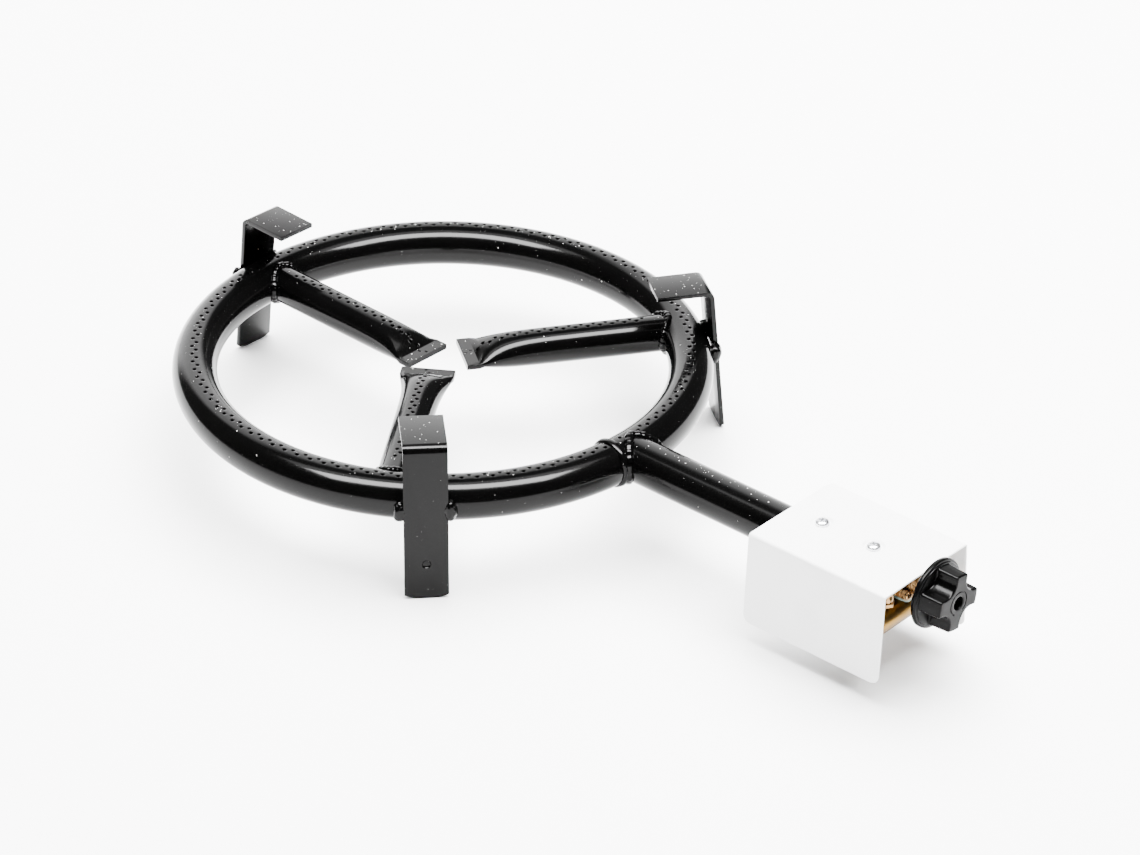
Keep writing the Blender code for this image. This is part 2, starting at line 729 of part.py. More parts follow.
def add_valve_body():
    length = BODY_BACK_Y - BODY_FRONT_Y
    body = add_piece(
        "valve_body", cone_mesh(BODY_RADIUS, length), "brass", tap_point(BODY_FRONT_Y), (0, 1, 0)
    )
    foot_at = Vector((HEAD_X, RAIL_Y, FOOT_BOTTOM))
    foot = cone_mesh(FOOT_RADIUS, 4 * MM)
    combine(body, add_cutter("valve_foot", foot, foot_at), "UNION")
    spigot = cone_mesh(SPIGOT_RADIUS, 4.5 * MM, 16)
    combine(body, add_cutter("valve_spigot", spigot, foot_at - Vector((0, 0, 3.5 * MM))), "UNION")
    for label, angle in CAP_SCREW_ANGLES.items():
        ear = cone_mesh(2.8 * MM, 3.2 * MM)
        start = tap_point(BODY_FRONT_Y, CAP_SCREW_RADIUS, angle)
        combine(body, add_cutter(f"valve_ear_{label}", ear, start, (0, 1, 0)), "UNION")
    nose_start = Vector((HEAD_X, BODY_BACK_Y - 1 * MM, 0))
    nose = cone_mesh(NOSE_RADIUS, 8 * MM)
    combine(body, add_cutter("valve_nose", nose, nose_start, (0, 1, 0)), "UNION")
    plug_hole = cone_mesh(PLUG_FRONT_RADIUS + GAP, 11.4 * MM, 24, PLUG_BACK_RADIUS + GAP)
    front = tap_point(BODY_FRONT_Y - 0.4 * MM)
    combine(body, add_cutter("valve_plug_hole", plug_hole, front, (0, 1, 0)))
    outlet = (tap_point(BODY_BACK_Y - 3 * MM) + nose_start) / 2
    drill(body, "valve_outlet", 1.8 * MM, outlet, Vector((HEAD_X, BODY_BACK_Y + 9 * MM, 1 * MM)))
    drill(body, "valve_inlet", 1.2 * MM, foot_at - Vector((0, 0, 5 * MM)), (HEAD_X, RAIL_Y, 0))
    for label, angle in CAP_SCREW_ANGLES.items():
        start = tap_point(BODY_FRONT_Y - 1 * MM, CAP_SCREW_RADIUS, angle)
        drill(body, f"body_cap_hole_{label}", 1.6 * MM, start, start + Vector((0, 6 * MM, 0)))


def add_valve_cap():
    """The bonnet: an oval flange with a boss that guides the stem and holds the spring in."""
    plate = 2.4 * MM
    back_y = BODY_FRONT_Y - GAP
    front_y = back_y - plate
    cap = add_piece("valve_cap", cone_mesh(6.4 * MM, plate), "brass", tap_point(back_y), (0, -1, 0))
    for label, angle in CAP_SCREW_ANGLES.items():
        ear = cone_mesh(3 * MM, plate)
        start = tap_point(back_y, CAP_SCREW_RADIUS, angle)
        combine(cap, add_cutter(f"cap_ear_{label}", ear, start, (0, -1, 0)), "UNION")
    boss = cone_mesh(5.6 * MM, back_y - 1 * MM - BOSS_FRONT_Y)
    combine(cap, add_cutter("cap_boss", boss, tap_point(back_y - 1 * MM), (0, -1, 0)), "UNION")
    chamber_front = BOSS_FRONT_Y + 1 * MM
    chamber_radius = COLLAR_RADIUS + 0.4 * MM
    drill(cap, "cap_chamber", chamber_radius, tap_point(back_y + 1 * MM), tap_point(chamber_front), 20)
    mouth = tap_point(BOSS_FRONT_Y - 1 * MM)
    drill(cap, "cap_stem_hole", STEM_RADIUS + GAP, tap_point(back_y), mouth, 20)
    for label, angle in CAP_SCREW_ANGLES.items():
        start = tap_point(back_y + 1 * MM, CAP_SCREW_RADIUS, angle)
        drill(cap, f"cap_hole_{label}", 1.6 * MM, start, start - Vector((0, plate + 2 * MM, 0)))
        seat = tap_point(front_y - GAP, CAP_SCREW_RADIUS, angle)
        pan_screw(f"cap_screw_{label}", CAP_SCREW_SIZE, "brass", seat, (0, -1, 0))


def axis_point(y):
    """A point on the tap's axis, from the moving pieces' own origin."""
    return Vector((0, y - RAIL_Y, 0))


def add_valve_plug(parent):
    """The tapered plug: a driving slot in front, two gas ports and an outlet bore behind."""
    cone = cone_mesh(PLUG_FRONT_RADIUS, 10.3 * MM, 24, PLUG_BACK_RADIUS)
    start = axis_point(BODY_FRONT_Y + 0.2 * MM)
    plug = add_piece("valve_plug", cone, "brass", start, (0, 1, 0), parent)
    middle = axis_point(RAIL_Y)

    def bore(name, radius, first, last):
        run = last - first
        combine(plug, add_cutter(name, cone_mesh(radius, run.length, 12), first, run, parent))

    bore("plug_slot", 2.5 * MM, axis_point(BODY_FRONT_Y - 2 * MM), axis_point(PLUG_SLOT_Y))
    bore("plug_outlet", 1.7 * MM, axis_point(PLUG_SLOT_Y + 1.4 * MM), axis_point(BODY_BACK_Y))
    for name, degrees, radius in (("full", 180, 1.3 * MM), ("low", 60, 0.6 * MM)):
        angle = radians(degrees)
        ray = Vector((cos(angle), 0, sin(angle)))
        bore(f"plug_port_{name}", radius, middle, middle + ray * 7 * MM)


def add_valve_stem(parent):
    """The stem slides in the plug: a tail in its slot, a collar in the bonnet, a flat in the knob."""
    tail = STEM_RADIUS - 0.8 * MM
    outline = [
        (0, RAIL_Y - STEM_TIP_Y),
        (STEM_RADIUS, RAIL_Y - STEM_TIP_Y),
        (STEM_RADIUS, RAIL_Y - COLLAR_FRONT_Y),
        (COLLAR_RADIUS, RAIL_Y - COLLAR_FRONT_Y),
        (COLLAR_RADIUS, RAIL_Y - COLLAR_BACK_Y),
        (tail, RAIL_Y - COLLAR_BACK_Y),
        (tail, RAIL_Y - STEM_TAIL_Y),
        (0, RAIL_Y - STEM_TAIL_Y),
    ]
    stem = add_turned("valve_stem", outline, "zinc", (0, 0, 0), (0, -1, 0), 20, parent=parent)
    flat = box_mesh(8 * MM, 13 * MM, 2 * MM)
    flat_at = axis_point(STEM_TIP_Y + 6.1 * MM) + Vector((0, 0, STEM_RADIUS + 0.2 * MM))
    combine(stem, add_cutter("stem_flat", flat, flat_at, parent=parent))
    slot = box_mesh(8 * MM, 2 * MM, 0.8 * MM)
    combine(stem, add_cutter("stem_slot", slot, axis_point(STEM_TIP_Y), parent=parent))


def add_valve_spring(parent):
    """The coil that pushes the stem back out."""
    turns = 3.5
    per_turn = 8
    count = int(turns * per_turn)
    curve = bpy.data.curves.new("coil", "CURVE")
    curve.dimensions = "3D"
    curve.bevel_depth = 0.3 * MM
    curve.bevel_resolution = 2
    curve.use_fill_caps = True
    spline = curve.splines.new("POLY")
    spline.points.add(count)
    for i, point in enumerate(spline.points):
        angle = 2 * pi * i / per_turn
        along = axis_point(SPRING_BACK_Y + (SPRING_FRONT_Y - SPRING_BACK_Y) * i / count).y
        point.co = (SPRING_RADIUS * cos(angle), along, SPRING_RADIUS * sin(angle), 1)
    add_piece("valve_spring", curve, "zinc", parent=parent)


def add_rail_gasket():
    """The saddle-shaped seal between the tap's foot and the rail."""
    tall = 4 * MM
    bottom = Vector((HEAD_X, RAIL_Y, FOOT_BOTTOM - GAP - tall))
    gasket = add_piece("rail_gasket", cone_mesh(FOOT_RADIUS, tall), "fibre", bottom)
    sleeve = cone_mesh(RAIL_RADIUS + GAP, 60 * MM, 24)
    rail_cutter = add_cutter("rail_clearance", sleeve, (-30 * MM, RAIL_Y, RAIL_Z), (1, 0, 0))
    combine(gasket, rail_cutter)
    top = bottom + Vector((0, 0, tall + 1 * MM))
    drill(gasket, "gasket_hole", SPIGOT_RADIUS + GAP, bottom, top)


def add_injector():
    """The jet: a hexagon that screws onto the tap's nose behind the bracket, with a fine bore."""
    start = Vector((HEAD_X, BRACKET_TAB_Y + BRACKET_SHEET + GAP, 0))
    forward = Vector((0, 1, 0))
    injector = add_piece("injector", cone_mesh(6.6 * MM, 8 * MM, 6), "brass", start, forward)
    cone = cone_mesh(4.2 * MM, 6 * MM, 20, 2 * MM)
    tip = add_cutter("injector_tip", cone, start + forward * 7.5 * MM, forward)
    combine(injector, tip, "UNION")
    socket_end = start + forward * 6.2 * MM
    drill(injector, "injector_socket", NOSE_RADIUS + GAP, start - forward * 1 * MM, socket_end)
    drill(injector, "injector_bore", 0.5 * MM, start, start + forward * 15 * MM, 10)


# ---------------------------------------------------------------- knob


def lobed_outline(inset):
    """The grip's outline, seen from the front: round lobes with hollow waists between them."""
    count = 56
    middle = (LOBE_RADIUS + WAIST_RADIUS) / 2 - inset
    swing = (LOBE_RADIUS - WAIST_RADIUS) / 2
    points = []
    for i in range(count):
        angle = 2 * pi * i / count
        wave = cos(LOBES * (angle - LOBE_ANGLE))
        shaped = wave * (1.35 - 0.35 * wave * wave)
        radius = middle + swing * shaped
        points.append((radius * cos(angle), radius * sin(angle)))
    return points


def grip_mesh(length):
    """The grip as a stack of outlines, drafted inwards and rounded off at its front."""
    rounding = [(1.2 * MM, 0.5 * MM), (0.4 * MM, 0.8 * MM), (0, 1.5 * MM)]
    stack = [(0, 0)] + [(length - behind, inset) for behind, inset in rounding]

    def build(bm):
        loops = []
        for height, inset in stack:
            loops.append([bm.verts.new((x, -height, z)) for x, z in lobed_outline(inset)])
        skin(bm, loops)
        bm.faces.new(loops[0])
        bm.faces.new(loops[-1])
        bmesh.ops.recalc_face_normals(bm, faces=bm.faces)

    return mesh_from(build)


def add_knob(parent):
    """A round skirt with a lobed grip, bored through for the stem."""
    back = KNOB_BACK_Y - RAIL_Y
    outline = [
        (0, SKIRT_THICKNESS),
        (SKIRT_RADIUS - 1.6 * MM, SKIRT_THICKNESS),
        (SKIRT_RADIUS, SKIRT_THICKNESS - 1 * MM),
        (SKIRT_RADIUS, 0),
        (0, 0),
    ]
    front = (0, -1, 0)
    knob = add_turned("knob", outline, "knob_plastic", (0, back, 0), front, 36, parent=parent)
    start = back - SKIRT_THICKNESS + 1 * MM
    grip_length = start - (KNOB_FRONT_Y - RAIL_Y)
    grip = add_cutter("grip", grip_mesh(grip_length), (0, start, 0), parent=parent)
    combine(knob, grip, "UNION")
    shoulder = KNOB_FRONT_Y - RAIL_Y + 3.6 * MM
    bore = cone_mesh(KNOB_BORE, back - shoulder + 1 * MM, 24)
    combine(knob, add_cutter("knob_bore", bore, (0, back + 1 * MM, 0), front, parent))
    hole = cone_mesh(KNOB_FRONT_HOLE, 8 * MM, 24)
    combine(knob, add_cutter("knob_front_hole", hole, (0, shoulder + 1 * MM, 0), front, parent))


def add_knob_sleeve(parent):
    """The split steel sleeve that grips the stem inside the knob."""
    back = KNOB_BACK_Y - RAIL_Y
    section = bored(STEM_RADIUS + GAP, KNOB_BORE - GAP, 11 * MM, 0.4 * MM)
    sleeve = add_turned("knob_sleeve", section, "zinc", (0, back, 0), (0, -1, 0), 24, True, parent)
    slit = box_mesh(1 * MM, 30 * MM, 3 * MM)
    combine(sleeve, add_cutter("sleeve_slit", slit, (0, back, -4 * MM), parent=parent))


def add_moving_empty(name, parent, location):
    empty = bpy.data.objects.new(name, None)
    empty.parent = parent
    empty.location = location
    PARTS.objects.link(empty)
    return empty


RING_CLEARANCE = add_ring_cutter()
add_ring()
add_arms(RING_CLEARANCE)
add_inlet_tube(RING_CLEARANCE)
add_tube_welds(RING_CLEARANCE)
add_ring_seam()
add_legs()
add_leg_welds(RING_CLEARANCE)
add_cover()
add_bracket()
add_cover_screws()
add_rail()
add_rail_plug()
add_inlet_elbow()
add_test_nipple()
add_valve_body()
add_valve_cap()
add_rail_gasket()
add_injector()
PLUG_AXIS = add_moving_empty("plug_turn_axis", ROOT, (HEAD_X, RAIL_Y, TAP_Z))
add_valve_plug(PLUG_AXIS)
add_valve_spring(PLUG_AXIS)
PUSH_AXIS = add_moving_empty("knob_push_axis", PLUG_AXIS, (0, 0, 0))
add_valve_stem(PUSH_AXIS)
add_knob(PUSH_AXIS)
add_knob_sleeve(PUSH_AXIS)
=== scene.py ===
import json
from math import acos, atan2, copysign, cos, degrees, exp, hypot, pi, radians, sin, sqrt, tan

import bmesh
import bpy
from mathutils import Matrix, Vector, noise


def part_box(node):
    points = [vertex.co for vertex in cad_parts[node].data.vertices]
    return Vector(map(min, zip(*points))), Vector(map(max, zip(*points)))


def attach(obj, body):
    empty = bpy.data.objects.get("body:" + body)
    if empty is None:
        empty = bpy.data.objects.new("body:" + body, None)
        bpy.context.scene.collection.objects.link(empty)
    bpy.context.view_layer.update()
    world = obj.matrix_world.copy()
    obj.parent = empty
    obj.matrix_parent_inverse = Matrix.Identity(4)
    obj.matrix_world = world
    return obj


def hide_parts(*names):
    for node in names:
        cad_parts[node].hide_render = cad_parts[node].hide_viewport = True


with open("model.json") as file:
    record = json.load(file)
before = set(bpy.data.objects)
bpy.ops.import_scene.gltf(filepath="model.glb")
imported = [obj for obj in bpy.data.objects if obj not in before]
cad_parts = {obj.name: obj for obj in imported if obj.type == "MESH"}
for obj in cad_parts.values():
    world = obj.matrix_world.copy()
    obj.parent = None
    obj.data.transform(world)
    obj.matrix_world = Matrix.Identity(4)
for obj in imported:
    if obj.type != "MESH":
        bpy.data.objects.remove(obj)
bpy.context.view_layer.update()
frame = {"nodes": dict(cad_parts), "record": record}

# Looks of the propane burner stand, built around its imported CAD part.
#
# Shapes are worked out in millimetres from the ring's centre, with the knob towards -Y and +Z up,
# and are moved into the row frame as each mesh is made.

MM = 0.001
UP = Vector((0, 0, 1))
RIGHTWARDS = Vector((1, 0, 0))
BACKWARDS = Vector((0, 1, 0))
FORWARDS = Vector((0, -1, 0))
MERGE_DISTANCE = 0.0005
CORNERS = ((-1, -1), (1, -1), (1, 1), (-1, 1))

# -------------------- places from the frame

ring_low, ring_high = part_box("ring_tube")
OUTER_RADIUS = (ring_high.x - ring_low.x) / 2 / MM
TUBE_RADIUS = (ring_high.z - ring_low.z) / 2 / MM
RING_RADIUS = OUTER_RADIUS - TUBE_RADIUS
ORIGIN = Vector((0, ring_high.y - OUTER_RADIUS * MM, (ring_low.z + ring_high.z) / 2))

RECORD = frame["record"]
SLOT_OF = {part["node"]: part["material_slot"] for part in RECORD["subparts"]}
BODIES = RECORD["behaviour"]["bodies"]
BODY_OF = {node: body for body, nodes in BODIES.items() for node in nodes}
MOUNTS = {mount["name"]: mount for mount in RECORD["mounts"]}
JOINTS = {joint["name"]: joint for joint in RECORD["behaviour"]["joints"]}


def local(point):
    """A point of the row frame, in millimetres from the ring's centre."""
    return (Vector(point) - ORIGIN) / MM


def local_box(node):
    low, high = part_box(node)
    return local(low), local(high)


def middle_of(node):
    low, high = local_box(node)
    return (low + high) / 2


TAP = local(JOINTS["tap_turn"]["pos_m"])
INLET_LOW, INLET_HIGH = local_box("inlet_tube")
INLET_RADIUS = (INLET_HIGH.x - INLET_LOW.x) / 2
RAIL_LOW, RAIL_HIGH = local_box("gas_rail")
RAIL_RADIUS = (RAIL_HIGH.z - RAIL_LOW.z) / 2
RAIL_MIDDLE = middle_of("gas_rail")
COVER_LOW, COVER_HIGH = local_box("cover")
COVER_SCREWS = {end: middle_of(f"cover_screw_{end}") for end in ("back", "front")}
FLOOR = local((0, 0, 0)).z
TUBE_WALL = 1.5
TUBE_SIDES = 44
TUBE_OVERLAP = 0.2  # how far a tube's end goes into the ring
PORT_RADIUS = 1.0
PORT_LIP = 0.25  # the enamel rounds each port's rim
PORT_OFFSET = 1.1  # each row of ports from the crown
PORT_STRIP = 2.35  # half width of the strip that holds both rows
RING_PORT_PITCHES = 104
SEAM_PORT_GAP = 1.4  # degrees on each side of the closing bead without a port

# Arms: the angle of each base on the ring, and the middle of its flat end
ARMS = {
    "back": (radians(88.2), (0.3, 12.2)),
    "left": (radians(211.0), (-11.0, 0.8)),
    "right": (radians(327.9), (14.4, -0.7)),
}
ARM_RADIUS = 10.35
ARM_FLAT_HALF_WIDTH = 15.1
ARM_FLAT_HALF_THICKNESS = 1.6
ARM_FLAT_LENGTH = 7
ARM_RISE_LENGTH = 9
ARM_ROUNDING_LENGTH = 4  # the pressed end's corners are gone this far past the flat
ARM_PORT_PITCH = 7.0
DENT_DEPTH = 0.55  # a port that the press has squashed, which is as much narrower too
BLIND_DEPTH = 1.4  # a port where the arm is too low for a real hole

LEG_WIDTH = 23.8
LEG_THICKNESS = 2.5
LEG_SPLAY = radians(5.5)
LEG_BEND_RADIUS = 5
LEG_FOOT_RADIUS = 30
LEG_PLATE_HALF_LENGTH = 13.2
LEG_DENT_HEIGHT = 20
WELD_LUMP_RADIUS = 4.2
WELD_LUMP_HALF_HEIGHT = 6.4

SEAM_ANGLE = -96.4  # degrees round the ring; the bead that closes it runs into the inlet's weld
SEAM_HALF_WIDTH = 2.6
SEAM_RISE = 1.5

COVER_FLARE = radians(2.5)
COVER_BEND_RADIUS = 2.0
COVER_CORNER_RADIUS = 5.0
COVER_COLUMNS = 120
NOTCH_DEPTH = 1.6  # how far the cover's back edge falls in near its right bend
NOTCH_REACH = 6
DIMPLE_RADIUS = 6.2  # round each cover screw
DIMPLE_SLOPE = 1.4  # how wide the dimple's sloped edge is
DIMPLE_DEPTH = 1.05

# Cross recess of a screw: height in head heights, then half length and half width in head radii
RECESS = ((0.25, 0.24, 0.10), (0.45, 0.30, 0.12), (1.0, 0.56, 0.15), (1.4, 0.60, 0.16))

CAP_SCREW_ANGLES = {"right": radians(24), "left": radians(204)}
CAP_SCREW_RADIUS = 8.2
CAP_THICKNESS = 2.4

KNOB_LOBES = 4
KNOB_LOBE_ANGLE = radians(-10)
KNOB_TIP_RADIUS = 16.5
KNOB_TIP_HALF_WIDTH = 3.5
KNOB_TIP_CORNER = 1.6
KNOB_HOLLOW_CENTRE = 17.5 / sqrt(2)
KNOB_HOLLOW_RADIUS = 7.3
KNOB_BORE = 4.2
KNOB_FACE_RADIUS = 7.6  # round the groove ring


# -------------------- procedural materials


def grey(tone):
    return (tone, tone, tone)


class Nodes:
    """Makes and links the nodes of one tree; spaces in socket names are underscores."""

    def __init__(self, tree, coordinates):
        self.tree = tree
        self.place = self.node("TexCoord").outputs[coordinates]

    def feed(self, node, inputs):
        """Sets a node's inputs, each to a constant or to another node's output."""
        for name, value in inputs.items():
            socket = node.inputs[name.replace("_", " ") if isinstance(name, str) else name]
            if isinstance(value, bpy.types.NodeSocket):
                self.tree.links.new(value, socket)
            elif socket.type == "RGBA":
                socket.default_value = (*value, 1)
            else:
                socket.default_value = value

    def node(self, kind, **inputs):
        node = self.tree.nodes.new("ShaderNode" + kind)
        self.feed(node, inputs)
        return node

    def noise(self, scale, detail=2.0, roughness=0.5, place=None):
        place = place or self.place
        texture = self.node("TexNoise", Vector=place, Scale=scale, Detail=detail, Roughness=roughness)
        return texture.outputs["Fac"]

    def remap(self, value, low, high, to_low, to_high):
        """A value from one range to another, held inside it."""
        limits = {"From_Min": low, "From_Max": high, "To_Min": to_low, "To_Max": to_high}
        return self.node("MapRange", Value=value, **limits).outputs["Result"]

    def math(self, operation, first, second, kind="Math", output=0):
        """Arithmetic on a socket and a socket or constant."""
        node = self.node(kind)
        node.operation = operation
        self.feed(node, {0: first, 1: second})
        return node.outputs[output]

    def mix(self, factor, *colours):
        """A mix of two colours, each a tuple or a socket."""
        node = self.node("Mix", Factor=factor)
        node.data_type = "RGBA"
        places = [i for i, socket in enumerate(node.inputs) if socket.type == "RGBA"]
        self.feed(node, dict(zip(places, colours)))
        return [socket for socket in node.outputs if socket.type == "RGBA"][0]

    def specks(self, cell, radius, growth):
        """Round specks, at most one in each cell of space, of varied size and scaled by growth."""
        texture = self.node("TexVoronoi", Vector=self.place, Scale=1 / (cell * MM))
        chance = self.node("SeparateColor", Color=texture.outputs["Color"]).outputs["Red"]
        share = self.math("ADD", self.math("POWER", chance, 3.0), 0.25)
        limit = self.math("MULTIPLY", self.math("MULTIPLY", share, radius / cell), growth)
        return self.math("LESS_THAN", texture.outputs["Distance"], limit)


class Paint(Nodes):
    """A material in the making, on its object's coordinates."""

    def __init__(self, name, **constants):
        self.material = bpy.data.materials.new(name)
        self.material.use_nodes = True
        super().__init__(self.material.node_tree, "Object")
        self.shader = self.tree.nodes["Principled BSDF"]
        self.feed(self.shader, constants)

    def normal(self, axis):
        """One part of the surface's normal: X, Y or Z."""
        normal = self.node("NewGeometry").outputs["Normal"]
        return self.node("SeparateXYZ", Vector=normal).outputs[axis]

    def finish(self, colour, roughness, height, strength, distance):
        """Joins a colour, a roughness and a bump to the shader."""
        bump = self.node("Bump", Height=height, Strength=strength, Distance=distance)
        normal = bump.outputs["Normal"]
        self.feed(self.shader, {"Base_Color": colour, "Roughness": roughness, "Normal": normal})
        return self.material


def enamel_material(name, waviness):
    """Fired black enamel: glossy, a little wavy, with white flecks that settle on upward faces."""
    paint = Paint(name, Specular_IOR_Level=0.09)
    drift = paint.remap(paint.noise(28.0, 1.0), 0.38, 0.62, 0.6, 1.15)
    settle = paint.remap(paint.normal("Z"), 0.95, 1.0, 0.45, 1.3)
    fine = paint.specks(1.9, 0.26, paint.math("MULTIPLY", settle, drift))
    specks = paint.math("MAXIMUM", fine, paint.specks(7.0, 0.42, drift))
    cloud = paint.mix(paint.noise(40.0, 3.0), grey(0.0004), grey(0.0010))
    colour = paint.mix(specks, cloud, (0.32, 0.32, 0.31))
    roughness = paint.remap(paint.noise(900.0), 0.3, 0.7, 0.10, 0.16)
    ripple = paint.math("ADD", paint.noise(130.0, 1.0), specks)
    return paint.finish(colour, roughness, ripple, waviness, 0.0004)


def powder_coat_material(name):
    """White powder coat with its fine orange peel and a few faint handling marks."""
    paint = Paint(name, IOR=1.5)
    marks = paint.remap(paint.noise(22.0, 3.0, 0.6), 0.55, 0.8, 0.0, 1.0)
    colour = paint.mix(marks, grey(0.80), grey(0.72))
    peel = paint.noise(1500.0)
    return paint.finish(colour, paint.remap(peel, 0.3, 0.7, 0.34, 0.5), peel, 0.22, 0.0001)


def metal_material(name, colours, roughness, blotch_scale, grain, strength):
    """Worked metal: its colour drifts between two tones, over fine scratches stretched along grain."""
    paint = Paint(name, Metallic=1.0)
    blotch = paint.remap(paint.noise(blotch_scale, 4.0, 0.6), 0.3, 0.7, 0.0, 1.0)
    mapping = paint.node("Mapping", Vector=paint.place, Scale=grain)
    scratches = paint.noise(1.0, 3.0, 0.6, mapping.outputs["Vector"])
    roughness = paint.remap(scratches, 0.25, 0.75, *roughness)
    return paint.finish(paint.mix(blotch, *colours), roughness, scratches, strength, 0.00006)


def knob_material(name):
    """Moulded thermoset: black, glossy on its sides, with a satin face where hands rub it."""
    paint = Paint(name, Specular_IOR_Level=0.045)
    wear = paint.noise(160.0, 3.0, 0.6)
    satin = paint.remap(paint.normal("Y"), -0.98, -0.7, 0.36, 0.17)
    roughness = paint.math("ADD", satin, paint.remap(wear, 0.35, 0.65, -0.03, 0.05))
    colour = paint.mix(wear, grey(0.0005), grey(0.0012))
    return paint.finish(colour, roughness, paint.noise(1400.0), 0.06, 0.0001)


def fibre_material(name):
    """Compressed fibre sheet, matt and mottled."""
    paint = Paint(name)
    fibres = paint.noise(900.0, 4.0, 0.7)
    colour = paint.mix(fibres, (0.12, 0.15, 0.13), (0.22, 0.26, 0.22))
    return paint.finish(colour, 0.85, fibres, 0.4, 0.0001)


ZINC_YELLOWS = ((0.105, 0.056, 0.0075), (0.145, 0.080, 0.013))
BRASSES = ((0.22, 0.125, 0.05), (0.29, 0.175, 0.08))
ZINC_GREYS = ((0.62, 0.63, 0.66), (0.76, 0.77, 0.78))
MATERIALS = {
    "black_enamel": enamel_material("black_enamel", 0.06),
    "enamelled_weld": enamel_material("enamelled_weld", 0.3),
    "white_powder_coat": powder_coat_material("white_powder_coat"),
    "yellow_zinc": metal_material("yellow_zinc", ZINC_YELLOWS, (0.26, 0.4), 60.0, (90, 2200, 2200), 0.1),
    "brass": metal_material("brass", BRASSES, (0.24, 0.3), 50.0, (2600, 2600, 300), 0.04),
    "zinc_steel": metal_material("zinc_steel", ZINC_GREYS, (0.2, 0.36), 150.0, (2000, 2000, 2000), 0.2),
    "knob_plastic": knob_material("knob_plastic"),
    "fibre_seal": fibre_material("fibre_seal"),
}


# -------------------- meshes


def link_object(name, data):
    """A new object in the scene, from a mesh, camera or light."""
    obj = bpy.data.objects.new(name, data)
    bpy.context.scene.collection.objects.link(obj)
    return obj


def raw_object(name, verts, faces):
    """An object in the row frame from a local outline."""
    mesh = bpy.data.meshes.new(name)
    mesh.from_pydata([ORIGIN + Vector(v) * MM for v in verts], [], faces)
    return link_object(name, mesh)


def as_object(name, verts, faces):
    """A raw object with its doubled points merged and its faces turned outwards."""
    obj = raw_object(name, verts, faces)
    bm = bmesh.new()
    bm.from_mesh(obj.data)
    bmesh.ops.remove_doubles(bm, verts=bm.verts, dist=MERGE_DISTANCE * MM)
    bmesh.ops.recalc_face_normals(bm, faces=bm.faces)
    bm.to_mesh(obj.data)
    bm.free()
    return obj


def apply_modifiers(obj):
    evaluated = obj.evaluated_get(bpy.context.evaluated_depsgraph_get())
    mesh = bpy.data.meshes.new_from_object(evaluated)
    obj.modifiers.clear()
    obj.data = mesh


def bevel(obj, width, segments=3, angle=35):
    """Rounds an object's sharp edges."""
    modifier = obj.modifiers.new("edge", "BEVEL")
    modifier.width = width * MM
    modifier.segments = segments
    modifier.limit_method = "ANGLE"
    modifier.angle_limit = radians(angle)
    apply_modifiers(obj)


def combine(obj, tools, operation="DIFFERENCE"):
    """Cuts tools out of an object, or adds them to it, and removes them."""
    for tool in tools:
        modifier = obj.modifiers.new("combine", "BOOLEAN")
        modifier.operation = operation
        modifier.solver = "EXACT"
        modifier.object = tool
    apply_modifiers(obj)
    for tool in tools:
        bpy.data.objects.remove(tool)
    return obj


def smooth(obj, angle=38):
    obj.data.shade_smooth()
    obj.data.set_sharp_from_angle(angle=radians(angle))


def publish(obj, *nodes, angle=38):
    """Dresses a finished piece, and lets it stand for its CAD nodes on their body."""
    smooth(obj, angle)
    slot = SLOT_OF[nodes[0]]
    obj.data.materials.clear()
    obj.data.materials.append(MATERIALS[slot])
    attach(obj, BODY_OF[nodes[0]])
    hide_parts(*nodes)


def bridge(faces, first, second):
    """Quads between two equally long loops of vertex numbers."""
    for i in range(len(first)):
        after = (i + 1) % len(first)
        faces.append((first[i], first[after], second[after], second[i]))


def loft(name, loops, around=False):
    """A skin over closed loops of points; it ends in flat caps, or goes round to its start."""
    size = len(loops[0])
    verts = [point for loop in loops for point in loop]
    rows = [range(i * size, (i + 1) * size) for i in range(len(loops))]
    faces = []
    for first, second in zip(rows, rows[1:] + (rows[:1] if around else [])):
        bridge(faces, first, second)
    if not around:
        faces.append(tuple(rows[0]))
        faces.append(tuple(rows[-1]))
    return as_object(name, verts, faces)


def basis(axis):
    """Two directions square to an axis and to each other."""
    axis = Vector(axis).normalized()
    side = axis.cross(UP) if abs(axis.z) < 0.9 else axis.cross(BACKWARDS)
    side.normalize()
    return side, axis.cross(side)


def circle(centre, axis, radius, steps, turn=0.0):
    side, other = basis(axis)
    angles = [turn + 2 * pi * i / steps for i in range(steps)]
    return [Vector(centre) + side * radius * cos(a) + other * radius * sin(a) for a in angles]


def turned(name, profile, start, axis, steps=48, closed=False, turn=0.0):
    """A profile of (radius, distance along the axis) turned round the axis."""
    direction = Vector(axis).normalized()
    loops = []
    for radius, along in profile:
        loops.append(circle(Vector(start) + direction * along, axis, radius, steps, turn))
    return loft(name, loops, around=closed)


def rod(radius, start, end, place, axis, steps=40):
    """A round bar along an axis, between two distances from a place."""
    profile = [(0, start), (radius, start), (radius, end), (0, end)]
    return turned("rod", profile, place, axis, steps)


def rounded(radius, top, edge, bottom=0.0):
    """The profile of a disc with its outer edges rounded, from its top to its bottom."""
    arc_angles = [i * pi / 8 for i in range(5)]
    upper = [(radius - edge * (1 - sin(a)), top - edge * (1 - cos(a))) for a in arc_angles]
    lower = [(r, bottom + top - t) for r, t in reversed(upper)]
    return [(0, top), *upper, *lower, (0, bottom)]


